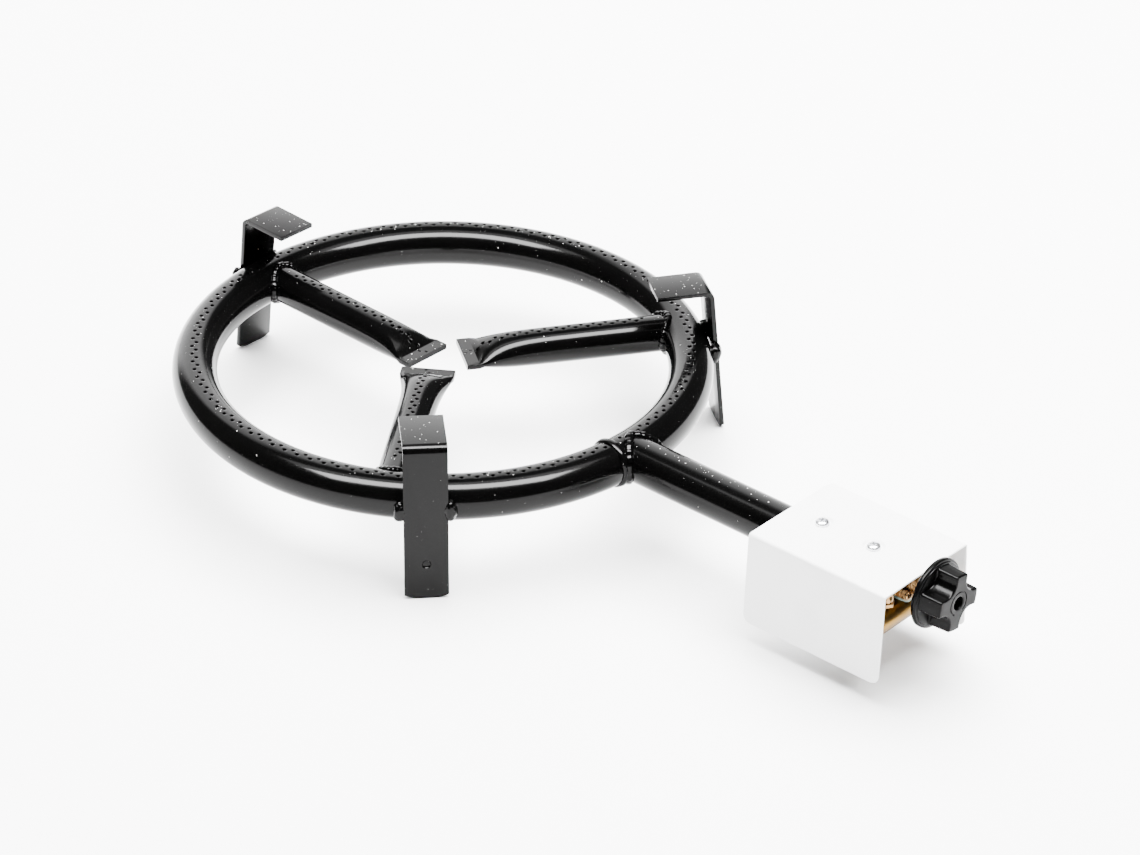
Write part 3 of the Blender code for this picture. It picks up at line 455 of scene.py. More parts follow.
def threaded(name, start, axis, length, major, depth, pitch, hole, steps=48):
    """A bored stub with a helical thread, its two ends chamfered."""
    direction = Vector(axis).normalized()
    side, other = basis(axis)
    rows = int(length / pitch * 6)
    loops = []
    for row in range(rows + 1):
        along = length * row / rows
        end_run = min(along, length - along) / pitch
        loop = []
        for i in range(steps):
            phase = (along / pitch - i / steps) % 1
            groove = 1 - abs(2 * phase - 1)
            radius = major - depth * max(groove, 1 - min(end_run, 1))
            angle = 2 * pi * i / steps
            ray = side * cos(angle) + other * sin(angle)
            loop.append(Vector(start) + direction * along + ray * radius)
        loops.append(loop)
    loops.append(circle(Vector(start) + direction * length, axis, hole, steps))
    loops.append(circle(Vector(start), axis, hole, steps))
    return loft(name, loops, around=True)


def box(name, centre, size, turn=0.0):
    """A block round a centre, turned about Z."""
    corners = [Vector((x, y, z)) for x in (-0.5, 0.5) for y in (-0.5, 0.5) for z in (-0.5, 0.5)]
    spin = Matrix.Rotation(turn, 3, "Z")
    verts = [Vector(centre) + spin @ Vector((c.x * size[0], c.y * size[1], c.z * size[2])) for c in corners]
    faces = [(0, 1, 3, 2), (4, 6, 7, 5), (0, 4, 5, 1), (2, 3, 7, 6), (0, 2, 6, 4), (1, 5, 7, 3)]
    return as_object(name, verts, faces)


# -------------------- tubes with burner ports


def crown_height(x, width, height, power):
    """Height of a section's upper side, at a distance from its middle."""
    share = min(abs(x) / width, 1)
    return height * (1 - share ** (2 / power)) ** (power / 2)


def section_loop(frame_at, inset):
    """A tube's section: three points on the port strip, then the rest of the way round."""
    centre, side, width, height, power = frame_at
    width, height = width - inset, height - inset
    start = acos(min((PORT_STRIP / width) ** (1 / power), 1))
    offsets = [(x, crown_height(x, width, height, power)) for x in (-PORT_STRIP, 0, PORT_STRIP)]
    for i in range(1, TUBE_SIDES):
        angle = start - (pi + 2 * start) * i / TUBE_SIDES
        across = copysign(abs(cos(angle)) ** power, cos(angle))
        rise = copysign(abs(sin(angle)) ** power, sin(angle))
        offsets.append((across * width, rise * height))
    return [centre + side * x + UP * z for x, z in offsets]


def port_rings(frame_of, s, x, squash, inset, rings, count=16):
    """Loops of points round a port, each from a (radius, drop) pair."""
    loops = []
    for radius, drop in rings:
        loop = []
        for k in range(count):
            angle = pi / 4 + 2 * pi * k / count
            along = radius * cos(angle)
            across = x + radius * sin(angle) * squash
            centre, side, width, height, power = frame_of(s, along)
            top = crown_height(across, width - inset, height - inset, power)
            loop.append(centre + side * across + UP * (top - drop))
        loops.append(loop)
    return loops


def ported_skin(verts, faces, frame_of, stations, ports, inset, around):
    """One wall of a tube; returns the vertex numbers of its end loops and of each port's edge.

    ports maps (station, strip side) to a port's place and kind.
    """
    size = 2 + TUBE_SIDES
    base = len(verts)
    for s in stations:
        verts.extend(section_loop(frame_of(s, 0), inset))
    rows = [list(range(base + j * size, base + (j + 1) * size)) for j in range(len(stations))]
    edges = {}
    pairs = zip(rows, rows[1:] + (rows[:1] if around else []))
    for j, (first, second) in enumerate(pairs):
        for i in range(size):
            after = (i + 1) % size
            corners = (first[i], first[after], second[after], second[i])
            port = ports.get((j, i))
            if port is None:
                faces.append(corners)
                continue
            edges[(j, i)] = port_opening(verts, faces, frame_of, corners, port, inset)
    return rows[0], rows[-1], edges


def port_opening(verts, faces, frame_of, corners, port, inset):
    """Opens a port in one cell of a wall, with a rounded rim on the outer side."""
    s, x, squash, depth = port
    rings = [(PORT_RADIUS, 0 if inset else PORT_LIP)]
    if not inset:
        rings.insert(0, (PORT_RADIUS + PORT_LIP * 0.3, PORT_LIP * 0.3))
        rings.insert(0, (PORT_RADIUS + PORT_LIP, 0))
    if depth:
        rings.append((PORT_RADIUS * 0.8, depth))
    loops = []
    for loop in port_rings(frame_of, s, x, squash, inset, rings):
        start = len(verts)
        verts.extend(loop)
        loops.append(list(range(start, start + len(loop))))
    ring = loops[0]
    quarter = len(ring) // 4
    order = (2, 1, 0, 3)  # corners as they follow the rim: ahead and left first
    for q in range(4):
        rim = [ring[(q * quarter + k) % len(ring)] for k in range(quarter + 1)]
        faces.append((corners[order[q]], *rim, corners[order[(q + 1) % 4]]))
    for first, second in zip(loops, loops[1:]):
        bridge(faces, first, second)
    if depth:
        faces.append(tuple(loops[-1]))
        return None
    return loops[-1]


def ported_tube(name, frame_of, stations, ports, around=False, inner_from=0, last_loops=None):
    """A hollow tube with real ports through its crown."""
    verts, faces = [], []
    outer_first, outer_last, outer_edges = ported_skin(
        verts, faces, frame_of, stations, ports, 0, around
    )
    through = {(j - inner_from, i): port for (j, i), port in ports.items() if not port[3]}
    inner_first, inner_last, inner_edges = ported_skin(
        verts, faces, frame_of, stations[inner_from:], through, TUBE_WALL, around
    )
    for (j, i), edge in outer_edges.items():
        if edge is not None:
            bridge(faces, edge, inner_edges[(j - inner_from, i)])
    if not around:
        faces.append(tuple(outer_first))
        faces.append(tuple(inner_first))
        bridge(faces, outer_last, inner_last)
        for row, points in zip((outer_last, inner_last), last_loops):
            for number, point in zip(row, points):
                verts[number] = point
    return as_object(name, verts, faces)


def ring_frame(s, along):
    """The ring's section at an angle, a small way further round."""
    angle = s + along / RING_RADIUS
    out = Vector((cos(angle), sin(angle), 0))
    return out * RING_RADIUS, out, TUBE_RADIUS, TUBE_RADIUS, 1.0


def make_ring():
    """The ring, with two staggered rows of ports; none under the closing bead."""
    cells = 2 * RING_PORT_PITCHES
    step = 2 * pi / cells
    stations = [(j - 0.5) * step for j in range(cells)]
    ports = {}
    for j in range(cells):
        from_seam = (degrees(j * step) - SEAM_ANGLE + 180) % 360 - 180
        row = j % 2
        if abs(from_seam) >= SEAM_PORT_GAP:
            ports[(j, row)] = (j * step, PORT_OFFSET if row else -PORT_OFFSET, 1.0, 0.0)
    publish(ported_tube("ring_tube_looks", ring_frame, stations, ports, around=True), "ring_tube")


def arm_place(name):
    """An arm's flat end, its direction towards the ring, its sideways direction and its length."""
    angle, (x, y) = ARMS[name]
    base = Vector((RING_RADIUS * cos(angle), RING_RADIUS * sin(angle), 0))
    end = Vector((x, y, 0))
    direction = (base - end).normalized()
    return end, direction, Vector((direction.y, -direction.x, 0)), (base - end).length


def arm_size(along):
    """Half width, half height and squareness of an arm, a distance from its flat end."""
    past = max(along - ARM_FLAT_LENGTH, 0)
    rise = 1 - exp(-past / ARM_RISE_LENGTH)
    height = ARM_FLAT_HALF_THICKNESS + (ARM_RADIUS - ARM_FLAT_HALF_THICKNESS) * rise
    width = sqrt(2 * ARM_RADIUS**2 - height**2)  # pressing keeps the distance round the tube
    width += (ARM_FLAT_HALF_WIDTH - sqrt(2 * ARM_RADIUS**2 - ARM_FLAT_HALF_THICKNESS**2)) * (1 - rise)
    return width, height, min(height / width + past / ARM_ROUNDING_LENGTH, 1)


def meet_ring(point, direction, tube_radius, sign):
    """Where a level line through a point meets the ring tube, on its inner (-1) or outer (1) side."""
    radius = RING_RADIUS + sign * sqrt(max(tube_radius**2 - point.z**2, 0))
    flat = Vector((point.x, point.y, 0))
    along = direction.dot(flat)
    return point + direction * (sqrt(along**2 - flat.length_squared + radius**2) - along)


def arm_ports(stations):
    """An arm's ports: dents in the pressed end, then blind ones, then real ones."""
    ports = {}
    for j in range(1, len(stations) - 1):
        row = j % 2
        s = (stations[j] + stations[j + 1]) / 2
        squash, depth = 1.0, 0.0
        if s < ARM_FLAT_LENGTH:
            squash, depth = DENT_DEPTH, DENT_DEPTH
        elif arm_size(s)[1] < TUBE_WALL + 2.5:
            depth = BLIND_DEPTH
        ports[(j, row)] = (s, PORT_OFFSET if row else -PORT_OFFSET, squash, depth)
    return ports


def make_arm(name):
    """A tube from the ring, pressed flat at its inner end, and hollow where it is high enough."""
    end, direction, side, length = arm_place(name)

    def frame_of(s, along):
        return end + direction * (s + along), side, *arm_size(s + along)

    half = ARM_PORT_PITCH / 2
    last = length - TUBE_RADIUS - ARM_RADIUS * 0.6  # where the round tube's last full section is
    stations = [0.0, 0.35] + [half * (j + 1) for j in range(int(last / half))]
    inner_from = next(j for j, s in enumerate(stations) if arm_size(s)[1] > TUBE_WALL + 1.0)
    ports = arm_ports(stations)
    ports = {key: port for key, port in ports.items() if port[3] or key[0] >= inner_from}
    stations.append(length)
    last_loops = []
    for inset in (0, TUBE_WALL):
        loop = section_loop(frame_of(last, 0), inset)
        last_loops.append([meet_ring(point, direction, TUBE_RADIUS - TUBE_OVERLAP, -1) for point in loop])
    arm = ported_tube(f"arm_{name}_looks", frame_of, stations, ports, False, inner_from, last_loops)
    publish(arm, f"arm_tube_{name}", angle=28)


# -------------------- welds


def bead(path, radius, ripple_length, wobble, seed, sides=14):
    """Loops of a closed weld bead along a path, rippled like laid metal."""
    lengths = [0.0]
    for first, second in zip(path, path[1:]):
        lengths.append(lengths[-1] + (second - first).length)
    total = lengths[-1] + (path[0] - path[-1]).length
    ripples = max(round(total / ripple_length), 1)
    loops = []
    for i, point in enumerate(path):
        tangent = (path[(i + 1) % len(path)] - path[i - 1]).normalized()
        side, other = basis(tangent)
        phase = lengths[i] / total * ripples % 1
        drift = noise.noise(point * 0.16 + Vector((seed, 0, 0)))
        lump = 1 + 0.16 * (1 - abs(2 * phase - 1)) + wobble * drift
        loop = []
        for k in range(sides):
            angle = 2 * pi * k / sides
            ray = side * cos(angle) + other * sin(angle)
            rough = 1 + 0.10 * noise.noise((point + ray * radius) * 0.9)
            loop.append(point + ray * radius * lump * rough)
        loops.append(loop)
    return loops


def saddle_path(start, direction, radius, sign, points=132):
    """The closed line where a tube's surface meets the ring's, on the ring's inner or outer side."""
    side = Vector((-direction.y, direction.x, 0))
    path = []
    for i in range(points):
        angle = 2 * pi * i / points
        point = start + side * radius * cos(angle) + UP * radius * sin(angle)
        path.append(meet_ring(point, direction, TUBE_RADIUS, sign))
    return path


def make_tube_welds():
    """The beads where the arms and the inlet tube meet the ring."""
    for number, name in enumerate(ARMS):
        end, direction = arm_place(name)[:2]
        path = saddle_path(end, direction, ARM_RADIUS, -1)
        weld = loft(f"arm_weld_{name}_looks", bead(path, 2.1, 2.6, 0.35, number), around=True)
        publish(weld, f"arm_weld_{name}", angle=60)
    path = saddle_path(Vector((TAP.x, 0, 0)), FORWARDS, INLET_RADIUS, 1)
    weld = loft("inlet_weld_looks", bead(path, 2.5, 3.4, 0.3, 7), around=True)
    publish(weld, "inlet_weld", angle=60)


def make_seam(steps=72, sides=12):
    """The bead that closes the ring tube beside the inlet: a low rounded collar, a little uneven."""
    angle = radians(SEAM_ANGLE)
    out = Vector((cos(angle), sin(angle), 0))
    along = Vector((-sin(angle), cos(angle), 0))
    loops = []
    for i in range(steps):
        turn = 2 * pi * i / steps
        ray = out * cos(turn) + UP * sin(turn)
        wander = 0.5 * noise.noise(ray * 1.7)
        height = SEAM_RISE + 0.25 * noise.noise(ray * 4)
        loop = []
        for k in range(sides):
            share = 2 * pi * k / sides
            rise = TUBE_RADIUS + height * max(sin(share), -0.4)
            loop.append(out * RING_RADIUS + ray * rise + along * (SEAM_HALF_WIDTH * cos(share) + wander))
        loops.append(loop)
    publish(loft("ring_seam_looks", loops, around=True), "ring_seam_weld", angle=60)


def make_leg_weld(name, label):
    """A lump of weld beside a leg, grown from the middle of its CAD piece."""
    centre = middle_of(f"leg_weld_{name}_{label}")
    mesh = bpy.data.meshes.new("lump")
    bm = bmesh.new()
    bmesh.ops.create_icosphere(bm, subdivisions=4, radius=1)
    for vert in bm.verts:
        ray = vert.co.copy()
        lump = 0.93 + 0.22 * noise.noise(ray * 1.3 + centre) + 0.07 * noise.noise(ray * 4 + centre)
        spread = ray * WELD_LUMP_RADIUS
        spread.z = ray.z * WELD_LUMP_HALF_HEIGHT
        vert.co = ORIGIN + (centre + spread * lump) * MM
    bm.to_mesh(mesh)
    bm.free()
    publish(link_object(f"leg_weld_{name}_{label}_looks", mesh), f"leg_weld_{name}_{label}", angle=60)


# -------------------- legs


def arc(centre, radius, start, end, steps):
    angles = [start + (end - start) * i / steps for i in range(steps + 1)]
    return [(centre[0] + radius * cos(a), centre[1] + radius * sin(a)) for a in angles]


def thicken(obj, thickness, even=True):
    """Gives a bare sheet its thickness, inwards from its outer face."""
    solid = obj.modifiers.new("sheet", "SOLIDIFY")
    solid.thickness = thickness * MM
    solid.offset = -1
    solid.use_even_offset = even
    apply_modifiers(obj)


def sheet(name, rows, across, thickness):
    """A bent sheet: rows of (point, half width) on its outer face, thickened inwards."""
    verts, faces = [], []
    for point, half_width in rows:
        verts += [Vector(point) - across * half_width, Vector(point) + across * half_width]
    for i in range(len(rows) - 1):
        faces.append((2 * i + 2, 2 * i + 3, 2 * i + 1, 2 * i))
    obj = raw_object(name, verts, faces)
    thicken(obj, thickness)
    return obj


def make_leg(name):
    """A bent strip with a rounded foot, cut level with the floor."""
    rest = local(MOUNTS[f"pan_rest_{name}"]["pos_m"])
    foot = local(MOUNTS[f"foot_{name}"]["pos_m"])
    out = Vector((foot.x - rest.x, foot.y - rest.y, 0)).normalized()
    lean = tan(LEG_SPLAY)
    middle = Vector((rest.x, rest.y, 0))
    foot_out = (foot - rest).dot(out) + LEG_THICKNESS / 2 / cos(LEG_SPLAY)
    bend_out = foot_out - (rest.z - FLOOR) * lean - LEG_BEND_RADIUS * tan((pi / 2 - LEG_SPLAY) / 2)
    half = LEG_WIDTH / 2
    line = [(-LEG_PLATE_HALF_LENGTH, rest.z)]
    line += arc((bend_out, rest.z - LEG_BEND_RADIUS), LEG_BEND_RADIUS, pi / 2, LEG_SPLAY, 14)
    rows = [(middle + out * r + UP * z, half) for r, z in line]
    sag = LEG_FOOT_RADIUS - sqrt(LEG_FOOT_RADIUS**2 - half**2)
    widest = atan2(half, LEG_FOOT_RADIUS - sag)
    steps = 13
    for i in range(steps):
        angle = widest * (1 - i / steps)
        height = FLOOR - 0.6 + LEG_FOOT_RADIUS * (1 - cos(angle))
        reach = foot_out - (height - FLOOR) * lean
        rows.append((middle + out * reach + UP * height, LEG_FOOT_RADIUS * sin(angle)))
    leg = sheet(f"leg_{name}_looks", rows, Vector((-out.y, out.x, 0)), LEG_THICKNESS)
    combine(leg, [box("floor_cutter", (0, 0, FLOOR - 10), (500, 700, 20))])
    bevel(leg, 0.35, 3)
    if name == "left":
        face = out * (foot_out - LEG_DENT_HEIGHT * lean)
        dent_leg(leg, middle + face + UP * (FLOOR + LEG_DENT_HEIGHT), out)
    publish(leg, f"leg_{name}")


def dent_leg(leg, place, out):
    """The hole low on the left leg, which the enamel has closed but for a dent."""
    profile = [(0, -0.9), (1.5, -0.85), (2.1, -0.55), (2.5, 0.0), (2.6, 1.0), (0, 1.0)]
    combine(leg, [turned("leg_dent", profile, place, out, 32)])


# -------------------- cover


def cover_profile():
    """Outer face of the cover, across and up, from its left bottom edge round to the right one."""
    top, bottom = COVER_HIGH.z, COVER_LOW.z
    half = (COVER_HIGH.x - COVER_LOW.x) / 2 - (top - bottom) * tan(COVER_FLARE)
    flat = half - COVER_BEND_RADIUS * tan((pi / 2 - COVER_FLARE) / 2)
    right = [(flat * i / 48, top) for i in range(48)]
    right += arc((flat, top - COVER_BEND_RADIUS), COVER_BEND_RADIUS, pi / 2, COVER_FLARE, 8)
    start = right[-1][1]
    steps = 52
    for i in range(1, steps + 1):
        height = start + (bottom - start) * i / steps
        right.append((half + (top - height) * tan(COVER_FLARE), height))
    return [(-x, z) for x, z in reversed(right[1:])] + right


def cover_edges(x, z, widest):
    """The cover's front and back edges at a place on its profile: cut corners, and a notch."""
    rise = max(COVER_CORNER_RADIUS - (z - COVER_LOW.z), 0)
    pull = COVER_CORNER_RADIUS - sqrt(max(COVER_CORNER_RADIUS**2 - rise**2, 0)) + 0.02
    notch = 0.0
    if x > 0 and z > COVER_HIGH.z - NOTCH_REACH:
        reach = hypot(z - COVER_HIGH.z + 1, x - widest + 3)
        notch = NOTCH_DEPTH * max(1 - reach / NOTCH_REACH, 0)
    return COVER_LOW.y + pull, COVER_HIGH.y - pull - notch


def dimple_depth(x, y):
    """How far the cover's top is pressed in round its screws."""
    dip = 0.0
    for screw in COVER_SCREWS.values():
        reach = hypot(x - screw.x, y - screw.y)
        wall = min(max((DIMPLE_RADIUS - reach) / DIMPLE_SLOPE, 0), 1)
        dip = max(dip, DIMPLE_DEPTH * (0.5 - 0.5 * cos(pi * wall)))
    return dip


def make_cover():
    """White sheet folded down on both sides, with a shallow dimple under each screw."""
    middle_x = (COVER_LOW.x + COVER_HIGH.x) / 2
    profile = cover_profile()
    verts, faces = [], []
    for x, z in profile:
        front, back = cover_edges(x, z, profile[-1][0])
        for k in range(COVER_COLUMNS + 1):
            y = front + (back - front) * k / COVER_COLUMNS
            dip = dimple_depth(middle_x + x, y) if z > COVER_HIGH.z - 0.01 else 0.0
            verts.append((middle_x + x, y, z - dip))
    width = COVER_COLUMNS + 1
    for i in range(len(profile) - 1):
        for first in range(i * width, i * width + COVER_COLUMNS):
            faces.append((first, first + width, first + width + 1, first + 1))
    cover = raw_object("cover_looks", verts, faces)
    thicken(cover, 1.0, even=False)
    bevel(cover, 0.3, 2, 50)
    publish(cover, "cover", angle=45)


def screw_profile(head_radius, head_height, shank_radius, length):
    """A pan head's crown, then a shank with its thread as rings."""
    shares = ((0, 1), (0.45, 0.97), (0.72, 0.82), (0.9, 0.56), (0.985, 0.25))
    profile = [(head_radius * out, head_height * up) for out, up in shares]
    profile += [(head_radius, 0.12), (head_radius * 0.97, 0), (shank_radius, 0)]
    pitch = shank_radius * 0.4
    for i in range(int(length / pitch)):
        start = -pitch * i
        profile += [(shank_radius * 0.82, start - pitch * 0.35), (shank_radius, start - pitch * 0.85)]
    return profile + [(shank_radius * 0.6, -length - 0.2), (0, -length - 0.2)]


def pan_screw(name, seat, axis, head_radius, head_height, shank_radius, length, turn):
    """A pan-head screw with a cross recess and a threaded shank."""
    screw = turned(name, screw_profile(head_radius, head_height, shank_radius, length), seat, axis, 40)
    direction = Vector(axis).normalized()
    side, other = basis(axis)
    tools = []
    for angle in (turn + pi / 2, turn):
        along = side * cos(angle) + other * sin(angle)
        square = direction.cross(along)
        loops = []
        for height, half_length, half_width in RECESS:
            centre = Vector(seat) + direction * head_height * height
            long, wide = along * head_radius * half_length, square * head_radius * half_width
            loops.append([centre + long * a + wide * b for a, b in CORNERS])
        tools.append(loft("recess", loops))
    return combine(screw, tools)


def make_cover_screws():
    for end, turn in (("back", 0.4), ("front", 0.9)):
        middle = COVER_SCREWS[end]
        seat = (middle.x, middle.y, COVER_HIGH.z - 0.88)
        screw = pan_screw(f"cover_screw_{end}_looks", seat, UP, 3.85, 2.3, 1.9, 7, turn)
        publish(screw, f"cover_screw_{end}")


# -------------------- inlet tube, bracket and rail


def make_inlet_tube():
    """The tube from the tap to the ring, open towards the injector."""
    steps = 72
    mouth = Vector((TAP.x, INLET_LOW.y, 0))
    bore = INLET_RADIUS - TUBE_WALL
    ends = []
    for point in circle(Vector((TAP.x, 0, 0)), BACKWARDS, INLET_RADIUS, steps):
        ends.append(meet_ring(point, FORWARDS, TUBE_RADIUS - TUBE_OVERLAP, 1))
    inner = circle(mouth, BACKWARDS, bore, steps)
    loops = [[Vector((p.x, e.y, p.z)) for p, e in zip(inner, ends)]]
    for radius, setback in ((bore, 0.5), (bore + 0.4, 0), (INLET_RADIUS - 0.4, 0), (INLET_RADIUS, 0.5)):
        loops.append(circle(mouth + BACKWARDS * setback, BACKWARDS, radius, steps))
    loops.append(ends)
    publish(loft("inlet_tube_looks", loops, around=True), "inlet_tube")


def make_bracket():
    """A strip screwed to the inlet tube and bent down to carry the tap, its corners rounded."""
    low, high = local_box("tap_bracket")
    bend = 2.0
    half = (high.x - low.x) / 2
    middle_x = (high.x + low.x) / 2
    line = [(high.y, high.z, half - 3), (high.y - 0.9, high.z, half - 0.9), (high.y - 3, high.z, half)]
    line += [(y, z, half) for y, z in arc((low.y + bend, high.z - bend), bend, pi / 2, pi, 8)]
    line += [(low.y, low.z + 3, half), (low.y, low.z + 0.9, half - 0.9), (low.y, low.z, half - 3)]
    rows = [(Vector((middle_x, y, z)), width) for y, z, width in line]
    bracket = sheet("tap_bracket_looks", rows, RIGHTWARDS, 0.8)
    holes = []
    for middle in COVER_SCREWS.values():
        holes.append(rod(2.4, -4, 4, (middle.x, middle.y, high.z), UP, 32))
    holes.append(rod(4.5, -3, 4, (TAP.x, low.y, 0), BACKWARDS))
    combine(bracket, holes)
    bevel(bracket, 0.15, 2, 50)
    publish(bracket, "tap_bracket")


def rail_point(x):
    """A point on the rail's axis."""
    return Vector((x, RAIL_MIDDLE.y, RAIL_MIDDLE.z))


def make_rail():
    """The gas rail, with a domed plug in its left end."""
    radius = RAIL_RADIUS
    length = RAIL_HIGH.x - RAIL_LOW.x
    profile = [(radius - 1.2, 0.4), (radius - 0.9, 0), (radius - 0.4, 0), (radius, 0.5)]
    profile += [(radius, length - 0.5), (radius - 0.4, length), (radius - 1.2, length)]
    rail = turned("gas_rail_looks", profile, rail_point(RAIL_LOW.x), RIGHTWARDS, 72, closed=True)
    publish(rail, "gas_rail")
    cap = [(0, 1.5), (radius - 1.6, 1.5), (radius - 0.6, 1.3), (radius - 0.15, 0.9), (radius, 0.5)]
    cap += [(radius, 0), (radius - 1.5, 0), (radius - 1.5, -4), (0, -4)]
    plug = turned("rail_end_plug_looks", cap, rail_point(RAIL_LOW.x - 0.3), -RIGHTWARDS, 64)
    publish(plug, "rail_end_plug")


def make_elbow():
    """The forged block on the rail's end, with a threaded stub for the gas hose."""
    low, high = local_box("inlet_elbow")
    size = high.z - low.z
    centre = rail_point(high.x - size / 2)
    back = (RAIL_LOW.y + RAIL_HIGH.y + size) / 2
    elbow = box("inlet_elbow_looks", centre, (size, size, size))
    bevel(elbow, 2.2, 5)
    reach = RAIL_RADIUS + 0.3
    steps = [(0, -4), (reach, -4), (reach, 3), (4, 3), (4, 9), (0, 9)]
    socket = turned("socket", steps, rail_point(low.x), RIGHTWARDS)
    combine(elbow, [socket, rod(4, -4, 30, centre, BACKWARDS)])
    start = Vector((centre.x, back - 0.6, centre.z))
    stub = threaded("inlet_thread", start, BACKWARDS, high.y - back + 0.6, 6.6, 0.85, 1.8, 4.0)
    rim = [(4.1, 0), (7.6, 0), (7.9, 0.4), (7.9, 1.6), (7.6, 2), (4.1, 2)]
    collar = turned("collar", rim, (centre.x, back - 0.4, centre.z), BACKWARDS, closed=True)
    merge(elbow, [stub, collar])
    publish(elbow, "inlet_elbow")


def merge(obj, others):
    """Joins other objects' meshes into an object without cutting them."""
    bm = bmesh.new()
    for source in (obj, *others):
        bm.from_mesh(source.data)
    mesh = bpy.data.meshes.new(obj.name)
    bm.to_mesh(mesh)
    bm.free()
    obj.data = mesh
    for other in others:
        bpy.data.objects.remove(other)


def make_nipple():
    """The pressure test point: hexagon, waisted barrel and a slotted sealing screw."""
    middle = middle_of("test_nipple")
    base = RAIL_MIDDLE.z + RAIL_RADIUS + 0.3
    place = (middle.x, middle.y, base)
    nut = [(0, 0), (3.9, 0), (4.2, 0.3), (4.2, 2.3), (3.9, 2.6), (0, 2.6)]
    hexagon = turned("test_nipple_looks", nut, place, UP, 6, turn=0.5)
    bevel(hexagon, 0.12, 2)
    barrel = [(2.0, 2.4), (3.0, 2.5), (3.0, 3.2), (3.4, 3.5), (3.4, 5.6), (3.1, 6.2), (3.1, 7.4), (3.4, 8.0)]
    barrel += [(3.4, 12.4), (3.2, 12.9), (2.3, 13.0), (2.0, 12.7), (2.0, 8.0), (2.0, 2.4)]
    merge(hexagon, [turned("barrel", barrel, place, UP, closed=True), rod(1.9, 0.2, -2, place, UP, 32)])
    publish(hexagon, "test_nipple")
    screw = turned("test_nipple_screw_looks", rounded(1.7, 12.6, 0.2, 9.2), place, UP, 36)
    combine(screw, [box("slot", (middle.x, middle.y, base + 12.5), (5, 0.6, 1.3), 0.7)])
    publish(screw, "test_nipple_screw")


# -------------------- tap


def tap_point(y, radius=0.0, angle=0.0):
    """A point at a distance and an angle from the tap's axis, seen from the front."""
    return Vector((TAP.x + radius * cos(angle), y, TAP.z + radius * sin(angle)))


def make_valve_body():
    """Forged brass body: a barrel with two ears, a foot on the rail and a nose for the injector."""
    front = TAP.y - 6.2
    body = turned("valve_body_looks", rounded(8.0, 13.0, 1.0), tap_point(front), BACKWARDS, 56)
    foot_place = (TAP.x, TAP.y, -5)
    foot = [(0, 0), (5, 0), (5, 2.2), (4.4, 3.2), (4.0, 5), (0, 5)]
    parts = [turned("foot", foot, foot_place, UP)]
    for angle in CAP_SCREW_ANGLES.values():
        place = tap_point(front, CAP_SCREW_RADIUS, angle)
        parts.append(turned("ear", rounded(2.8, 3.2, 0.4), place, BACKWARDS, 36))
    nose = [(0, 12), (4.4, 12), (4.4, 14.5), (4.2, 15), (4.2, 19.6), (3.9, 20), (0, 20)]
    parts.append(turned("nose", nose, (TAP.x, front, 0), BACKWARDS, 40))
    parts.append(rod(1.9, 0.5, -4, foot_place, UP, 28))
    combine(body, parts, "UNION")
    taper = [(0, -0.4), (5.8, -0.4), (4.4, 11), (0, 11)]
    plug_hole = turned("plug_hole", taper, tap_point(front), BACKWARDS, 40)
    outlet = rod(1.8, -4, 12, (TAP.x, front + 12, 1.6), (0, 1, -0.1), 24)
    combine(body, [plug_hole, outlet])
    bevel(body, 0.25, 2, 40)
    publish(body, "valve_body")


def make_valve_cap():
    """The bonnet, its boss round the stem, and the two screws that hold it."""
    back = TAP.y - 6.5
    thick = CAP_THICKNESS
    cap = turned("valve_cap_looks", rounded(6.4, thick, 0.3), tap_point(back), FORWARDS, 56)
    parts, holes = [], []
    for angle in CAP_SCREW_ANGLES.values():
        place = tap_point(back, CAP_SCREW_RADIUS, angle)
        parts.append(turned("ear", rounded(3.0, thick, 0.3), place, FORWARDS, 36))
        holes.append(rod(1.6, -1, 4, place, FORWARDS, 24))
    deep = back - local_box("valve_cap")[0].y
    boss = [(0, 1), (6.1, 1), (5.9, thick + 0.5), (5.6, thick + 1.1)]
    boss += [(5.6, deep - 0.6), (5.1, deep), (0, deep)]
    parts.append(turned("boss", boss, tap_point(back), FORWARDS, 56))
    combine(cap, parts, "UNION")
    steps = [(0, -1), (4.2, -1), (4.2, deep - 1), (3.3, deep - 1), (3.3, deep + 1), (0, deep + 1)]
    combine(cap, [turned("chamber", steps, tap_point(back), FORWARDS, 40), *holes])
    publish(cap, "valve_cap")
    for label, angle in CAP_SCREW_ANGLES.items():
        seat = tap_point(back - thick - 0.3, CAP_SCREW_RADIUS, angle)
        screw = pan_screw(f"cap_screw_{label}_looks", seat, FORWARDS, 2.5, 1.6, 1.3, 5.4, angle)
        publish(screw, f"cap_screw_{label}")


def make_injector():
    """The jet: a hexagon with a coned tip and a fine bore."""
    low, high = local_box("injector")
    start = Vector((TAP.x, low.y, 0))
    length = high.y - low.y
    hexagon = [(0, 0), (6.2, 0), (6.6, 0.5), (6.6, 7.5), (6.2, 8), (0, 8)]
    jet = turned("injector_looks", hexagon, start, BACKWARDS, 6)
    cone = [(0, 7), (4.4, 7), (4.4, 8.6), (3.6, 9.2), (2.0, length), (0, length)]
    combine(jet, [turned("tip", cone, start, BACKWARDS, 40)], "UNION")
    bore = [(0, -1), (4.5, -1), (4.5, 6.2), (0.5, 6.2), (0.5, 15), (0, 15)]
    combine(jet, [turned("socket", bore, start, BACKWARDS, 32)])
    bevel(jet, 0.2, 2, 40)
    publish(jet, "injector")


